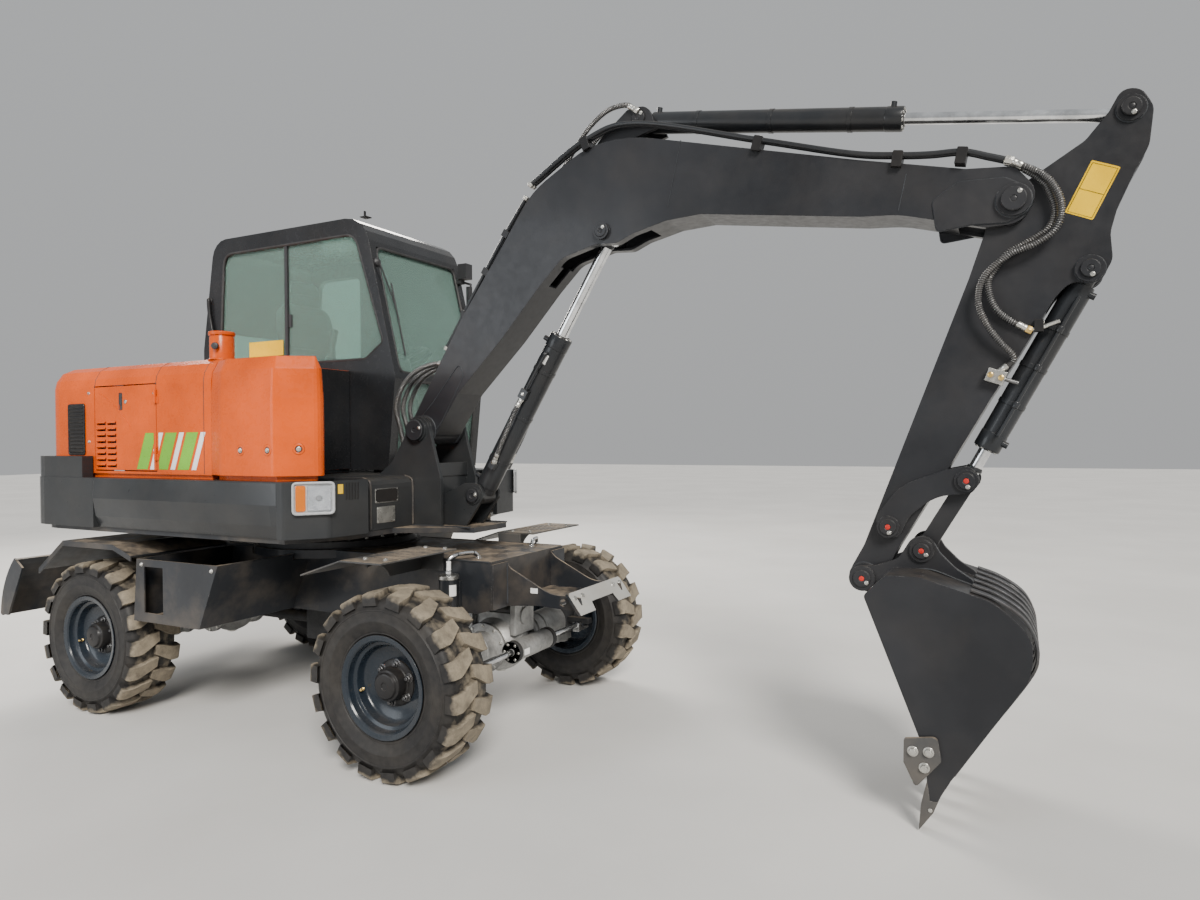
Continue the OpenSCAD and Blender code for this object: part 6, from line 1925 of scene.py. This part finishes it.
@dataclass
class Undercarriage:
    """Plates, pipes, bolts and castings of the frame and its axles."""

    lock_y: float = 0.412
    ring_x: float = -1.150
    ring_radius: float = 0.428
    axle_x: Sequence[float] = (0.0, -2.100)
    axle_z: float = 0.420
    cover_radius: float = 0.114

    def nose_plate(self) -> None:
        """Fix the pale leaning plate with its notch on the front bracket, and its gussets and label."""
        form = Form()
        place = Matrix(((0, -0.6, 0.8, 0.6385), (1, 0, 0, 0), (0, 0.8, 0.6, 0.667), (0, 0, 0, 1)))
        half, notch, height = 0.275, 0.130, 0.120
        outline = [(-half, -0.002), (-notch, -0.002), (-notch + 0.012, 0.046), (notch - 0.012, 0.046),
                   (notch, -0.002), (half, -0.002), (half, height - 0.012), (half - 0.012, height),
                   (-half + 0.012, height), (-half, height - 0.012)]
        form.prism(outline, 0.0, 0.0035, place, 0)
        for y in (-0.245, -0.165, 0.165, 0.245):
            form.bolt(place @ Vector((y, 0.088, 0.0035)), (0.8, 0.0, 0.6), 0.018, 1)
        for side in Side:
            y = side.value * 0.2262
            form.plate(rectangle((0.330, 0.740), (0.372, 0.766)), y, y + side.value * 0.0006, 2)
            form.tube([(0.196, side.value * 0.228, 0.680), (0.196, side.value * 0.228, 0.880)], 0.004, 8, 3)
        piece("nose_plate", form, [Look.PALE, Look.ZINC, Look.WHITE, Look.WELD], "root", bevel=0.0012)

    def lock_fittings(self) -> None:
        """Cap the axle lock cylinders, and lay their bent pipes with white sleeves and nuts."""
        form = Form()
        for side in Side:
            s = side.value
            x, y = -0.025, s * self.lock_y
            form.lathe([(0.0485, -0.022), (0.0510, -0.020), (0.0510, -0.004), (0.0470, 0.0),
                        (0.020, 0.001)], 40,
                       facing((x, y, 0.8352), UP), 0)
            elbow, end = s * (self.lock_y - 0.130), s * (self.lock_y - 0.160)
            route = [(x, y, 0.834), (x, y, 0.905), (0.000, s * (self.lock_y - 0.040), 0.930),
                     (0.030, elbow, 0.930), (0.040, end, 0.905)]
            form.tube(spline(route, 8), 0.0092, 16, 1)
            form.lathe([(0.0125, 0.0), (0.0145, 0.002), (0.0145, 0.016), (0.0125, 0.018)], 6,
                       facing((x, y, 0.836), UP), 1)
            form.lathe([(0.0118, 0.0), (0.0118, 0.045)], 20, facing((x, y, 0.856), UP), 2)
            form.bolt((0.040, end, 0.9005), UP, 0.026, 1)
            angles = [math.radians(s * (5 + 9 * i)) for i in range(6)]
            label = [polar(r, a) for r, run in ((0.0488, angles), (0.0478, angles[::-1])) for a in run]
            form.prism(label, 0.735, 0.790, Matrix.Translation((x, y, 0.0)), 3)
        piece("lock_fittings", form, [Look.ZINC, Look.CHROME, Look.WHITE, Look.WHITE], "root")

    def frame_trim(self) -> None:
        """Add the ring's bolts, the frame's welds and the bolts on steps and boxes."""
        form = Form()
        for a in turns(28):
            x, y = polar(self.ring_radius, a)
            form.bolt((self.ring_x + x, y, 0.9545), UP, 0.017, 0)
        for side in Side:
            s = side.value
            form.tube([(x, s * 0.351, 0.8985) for x in (-2.10, -1.7, 0.17)], 0.004, 8, 1)
            for x in (-0.060, -0.180):
                for y in (0.395, 0.820):
                    form.bolt((x, s * y, 0.9572), UP, 0.020, 0)
            for i in range(7):
                for k in range(5):
                    x, y = -0.232 + 0.032 * i, s * (0.470 + 0.075 * k)
                    form.box((x - 0.010, y - 0.0025, 0.9568), (x + 0.010, y + 0.0025, 0.9584), slot=2)
            for x in (-1.60, -1.06):
                form.bolt((x, s * 0.9452, 0.860), (0, s, 0), 0.016, 0)
        piece("frame_trim", form, [Look.ZINC, Look.WELD, Look.STEP], "root")

    def axle_trim(self) -> None:
        """Rib the axle housings, and bolt their covers, steering cylinder and hubs."""
        form = Form()
        r = self.axle_z
        for x in self.axle_x:
            for side in Side:
                s = side.value
                out = (0, s, 0)
                for y in (0.150, 0.158):
                    form.ring([(0.088, -0.012), (0.128, -0.010), (0.128, 0.004), (0.088, 0.010)], 40,
                              facing((x, s * y, r), out), 0)
                for a in turns(10, 0.5):
                    ahead, up = polar(self.cover_radius, a)
                    form.bolt((x + ahead, s * 0.1605, r + up), out, 0.017, 2)
                for y in (0.250, 0.330, 0.410):
                    if x < 0 or y < 0.4:
                        form.ring([(0.086, -0.006), (0.096, -0.004), (0.096, 0.004), (0.086, 0.006)], 40,
                                  facing((x, s * y, r), out), 0)
            cover = facing((x, 0.0, r - 0.150), (0, 0, -1))
            form.lathe([(0.030, -0.006), (0.030, 0.004), (0.020, 0.008)], 6, cover, 2)
        for side in Side:
            s = side.value
            end = facing((0.185, s * 0.180, r), (0, s, 0))
            form.ring([(0.018, 0.0), (0.056, 0.0), (0.056, -0.026), (0.0525, -0.030), (0.018, -0.030)],
                      40, end, 1)
            for a in turns(6):
                form.bolt(end @ Vector((*polar(0.042, a), 0.0)), (0, s, 0), 0.012, 2)
        form.lathe([(0.0528, -0.1), (0.0528, 0.1)], 40, facing((0.185, -0.060, r), (0, 1, 0)), 0)
        form.box((0.2375, -0.140, 0.400), (0.2382, -0.090, 0.432), slot=3)
        piece("axle_trim", form, [Look.AXLE, Look.IRON, Look.ZINC, Look.WHITE], "root")

    def blade_trim(self) -> None:
        """Set a row of bolts along the dozer blade's lower edge."""
        form = Form()
        for i in range(8):
            y = -0.84 + 0.24 * i
            form.bolt((-2.9131, y, 0.5065), (-0.994, 0.0, 0.108), 0.022, 0)
        piece("blade_bolts", form, [Look.ZINC], "dozer_blade")

    def build(self) -> None:
        """Build everything on the undercarriage."""
        self.nose_plate()
        self.lock_fittings()
        self.frame_trim()
        self.axle_trim()
        self.blade_trim()


# Stage


@dataclass
class Studio:
    """Pale floor, soft light, and the camera where the photograph was taken."""

    camera_at: Point = (2.467, -3.639, 1.494)
    yaw: float = 2.044
    pitch: float = -0.013
    roll: float = -0.007
    focal_px: float = 817.754
    image_px: float = 1200.0
    sensor_mm: float = 36.0
    sky_strength: float = 0.55
    sun_from: Point = (5.3, -6.5, 6.0)
    sun_angle: float = 0.35
    sun_strength: float = 4.6
    sun_colour: Colour = (1.0, 0.96, 0.9)

    def camera(self) -> None:
        """Place the camera."""
        data = bpy.data.cameras.new("camera")
        data.sensor_width = self.sensor_mm
        data.lens = self.focal_px * self.sensor_mm / self.image_px
        eye = bpy.data.objects.new("camera", data)
        forward = Vector((math.cos(self.yaw) * math.cos(self.pitch),
                          math.sin(self.yaw) * math.cos(self.pitch), math.sin(self.pitch)))
        right = Vector((math.sin(self.yaw), -math.cos(self.yaw), 0.0))
        up = right.cross(forward)
        across = math.cos(self.roll) * right + math.sin(self.roll) * up
        above = -math.sin(self.roll) * right + math.cos(self.roll) * up
        turn = Matrix((across, above, -forward)).transposed()
        eye.matrix_world = Matrix.Translation(Vector(self.camera_at)) @ turn.to_4x4()
        bpy.context.scene.collection.objects.link(eye)
        bpy.context.scene.camera = eye

    def floor(self) -> None:
        """Lay the floor."""
        form = Form().box((-40, -40, -0.05), (40, 40, 0.0))
        mesh = bpy.data.meshes.new("floor")
        mesh.from_pydata([tuple(p) for p in form.points], [], form.faces)
        g = Graph("floor_paint")
        tone = g.blend(g.span(g.noise(0.7, 6.0), 0.35, 0.65), (0.60, 0.59, 0.57), (0.66, 0.65, 0.63))
        mesh.materials.append(g.finish(tone, 0.75, g.height(g.noise(60.0, 4.0), 0.2, 0.001)))
        ground = bpy.data.objects.new("floor", mesh)
        bpy.context.scene.collection.objects.link(ground)

    def lamp(self, name: str, spot: Point, target: Point, size: float, power: float,
             colour: Colour) -> None:
        """Hang one soft square lamp.

        Args:
            name: the lamp's name.
            spot: where it hangs.
            target: what it points at.
            size: length of its side.
            power: watts.
            colour: its light's colour.
        """
        data = bpy.data.lights.new(name, "AREA")
        data.size, data.energy, data.color = size, power, colour
        made = bpy.data.objects.new(name, data)
        made.matrix_world = facing(spot, Vector(spot) - Vector(target))
        bpy.context.scene.collection.objects.link(made)

    def sun(self) -> None:
        """Light everything from one side with a wide, soft disc."""
        data = bpy.data.lights.new("key", "SUN")
        data.angle, data.energy, data.color = self.sun_angle, self.sun_strength, self.sun_colour
        made = bpy.data.objects.new("key", data)
        made.matrix_world = facing(self.sun_from, self.sun_from)
        bpy.context.scene.collection.objects.link(made)

    def sky(self) -> None:
        """Light the scene from all round, brighter above."""
        world = bpy.data.worlds.new("sky")
        bpy.context.scene.world = world
        world.use_nodes = True
        nodes, links = world.node_tree.nodes, world.node_tree.links
        background = nodes["Background"]
        place = nodes.new("ShaderNodeTexCoord")
        split = nodes.new("ShaderNodeSeparateXYZ")
        ramp = nodes.new("ShaderNodeValToRGB")
        links.new(place.outputs["Generated"], split.inputs[0])
        links.new(split.outputs["Z"], ramp.inputs[0])
        links.new(ramp.outputs[0], background.inputs["Color"])
        ramp.color_ramp.elements[0].color = (0.80, 0.81, 0.82, 1)
        ramp.color_ramp.elements[1].color = (0.95, 0.98, 1.0, 1)
        background.inputs["Strength"].default_value = self.sky_strength

    def build(self) -> None:
        """Set the whole stage."""
        self.camera()
        self.floor()
        self.sky()
        self.sun()
        self.lamp("back", (-7.0, 5.0, 6.5), (0.0, 0.0, 1.2), 5.0, 900.0, (1.0, 0.95, 0.88))
        self.lamp("fill", (-4.5, -7.5, 3.0), (-1.0, 0.0, 1.0), 4.0, 200.0, (0.9, 0.95, 1.0))


def dress_nodes() -> None:
    """Give every carried-over node its finish."""
    looks = {
        Look.FRAME: "chassis_frame front_bracket rear_mudguards side_boxes blade deck",
        Look.STEP: "front_steps bucket_teeth",
        Look.IRON: "slew_ring driveline knuckle_left knuckle_right",
        Look.AXLE: "front_axle rear_axle engine",
        Look.CYLINDER: "lock_cylinders blade_barrels boom_barrel arm_barrel bucket_barrel boom_pipes",
        Look.CHROME: "steer_rod blade_rods boom_rod arm_rod bucket_rod",
        Look.SKIRT: "skirts counterweight boom_bracket",
        Look.HOOD: "hood tank_cover engine_door rear_lid",
        Look.CAB: "cab_frame cab_door",
        Look.PANE: "cab_windows door_window",
        Look.LENS: "headlamps",
        Look.PLASTIC: "controls cab_fittings handrail seat",
        Look.BOOM: "boom arm rocker link bucket",
        Look.HOSE: "foot_hoses arm_hoses cylinder_hoses tyre_front_left tyre_front_right tyre_rear_left "
                   "tyre_rear_right",
        Look.RIM: "rim_front_left rim_front_right rim_rear_left rim_rear_right",
    }
    for look, names in looks.items():
        for name in names.split():
            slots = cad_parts[name].data.materials
            slots.clear()
            slots.append(look.material)
    left = [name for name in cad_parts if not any(name in names.split() for names in looks.values())]
    if left:
        log.warning("no finish for %s", left)


def main() -> None:
    """Build every sub-assembly in order."""
    logging.basicConfig(level=logging.INFO, format="%(name)s: %(message)s")
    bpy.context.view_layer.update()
    Studio().build()
    dress_nodes()
    for axle in Axle:
        for side in Side:
            Wheel(axle, side).build()
    WorkingGear().build()
    House().build()
    Cab().build()
    Undercarriage().build()


if __name__ == "__main__":
    main()
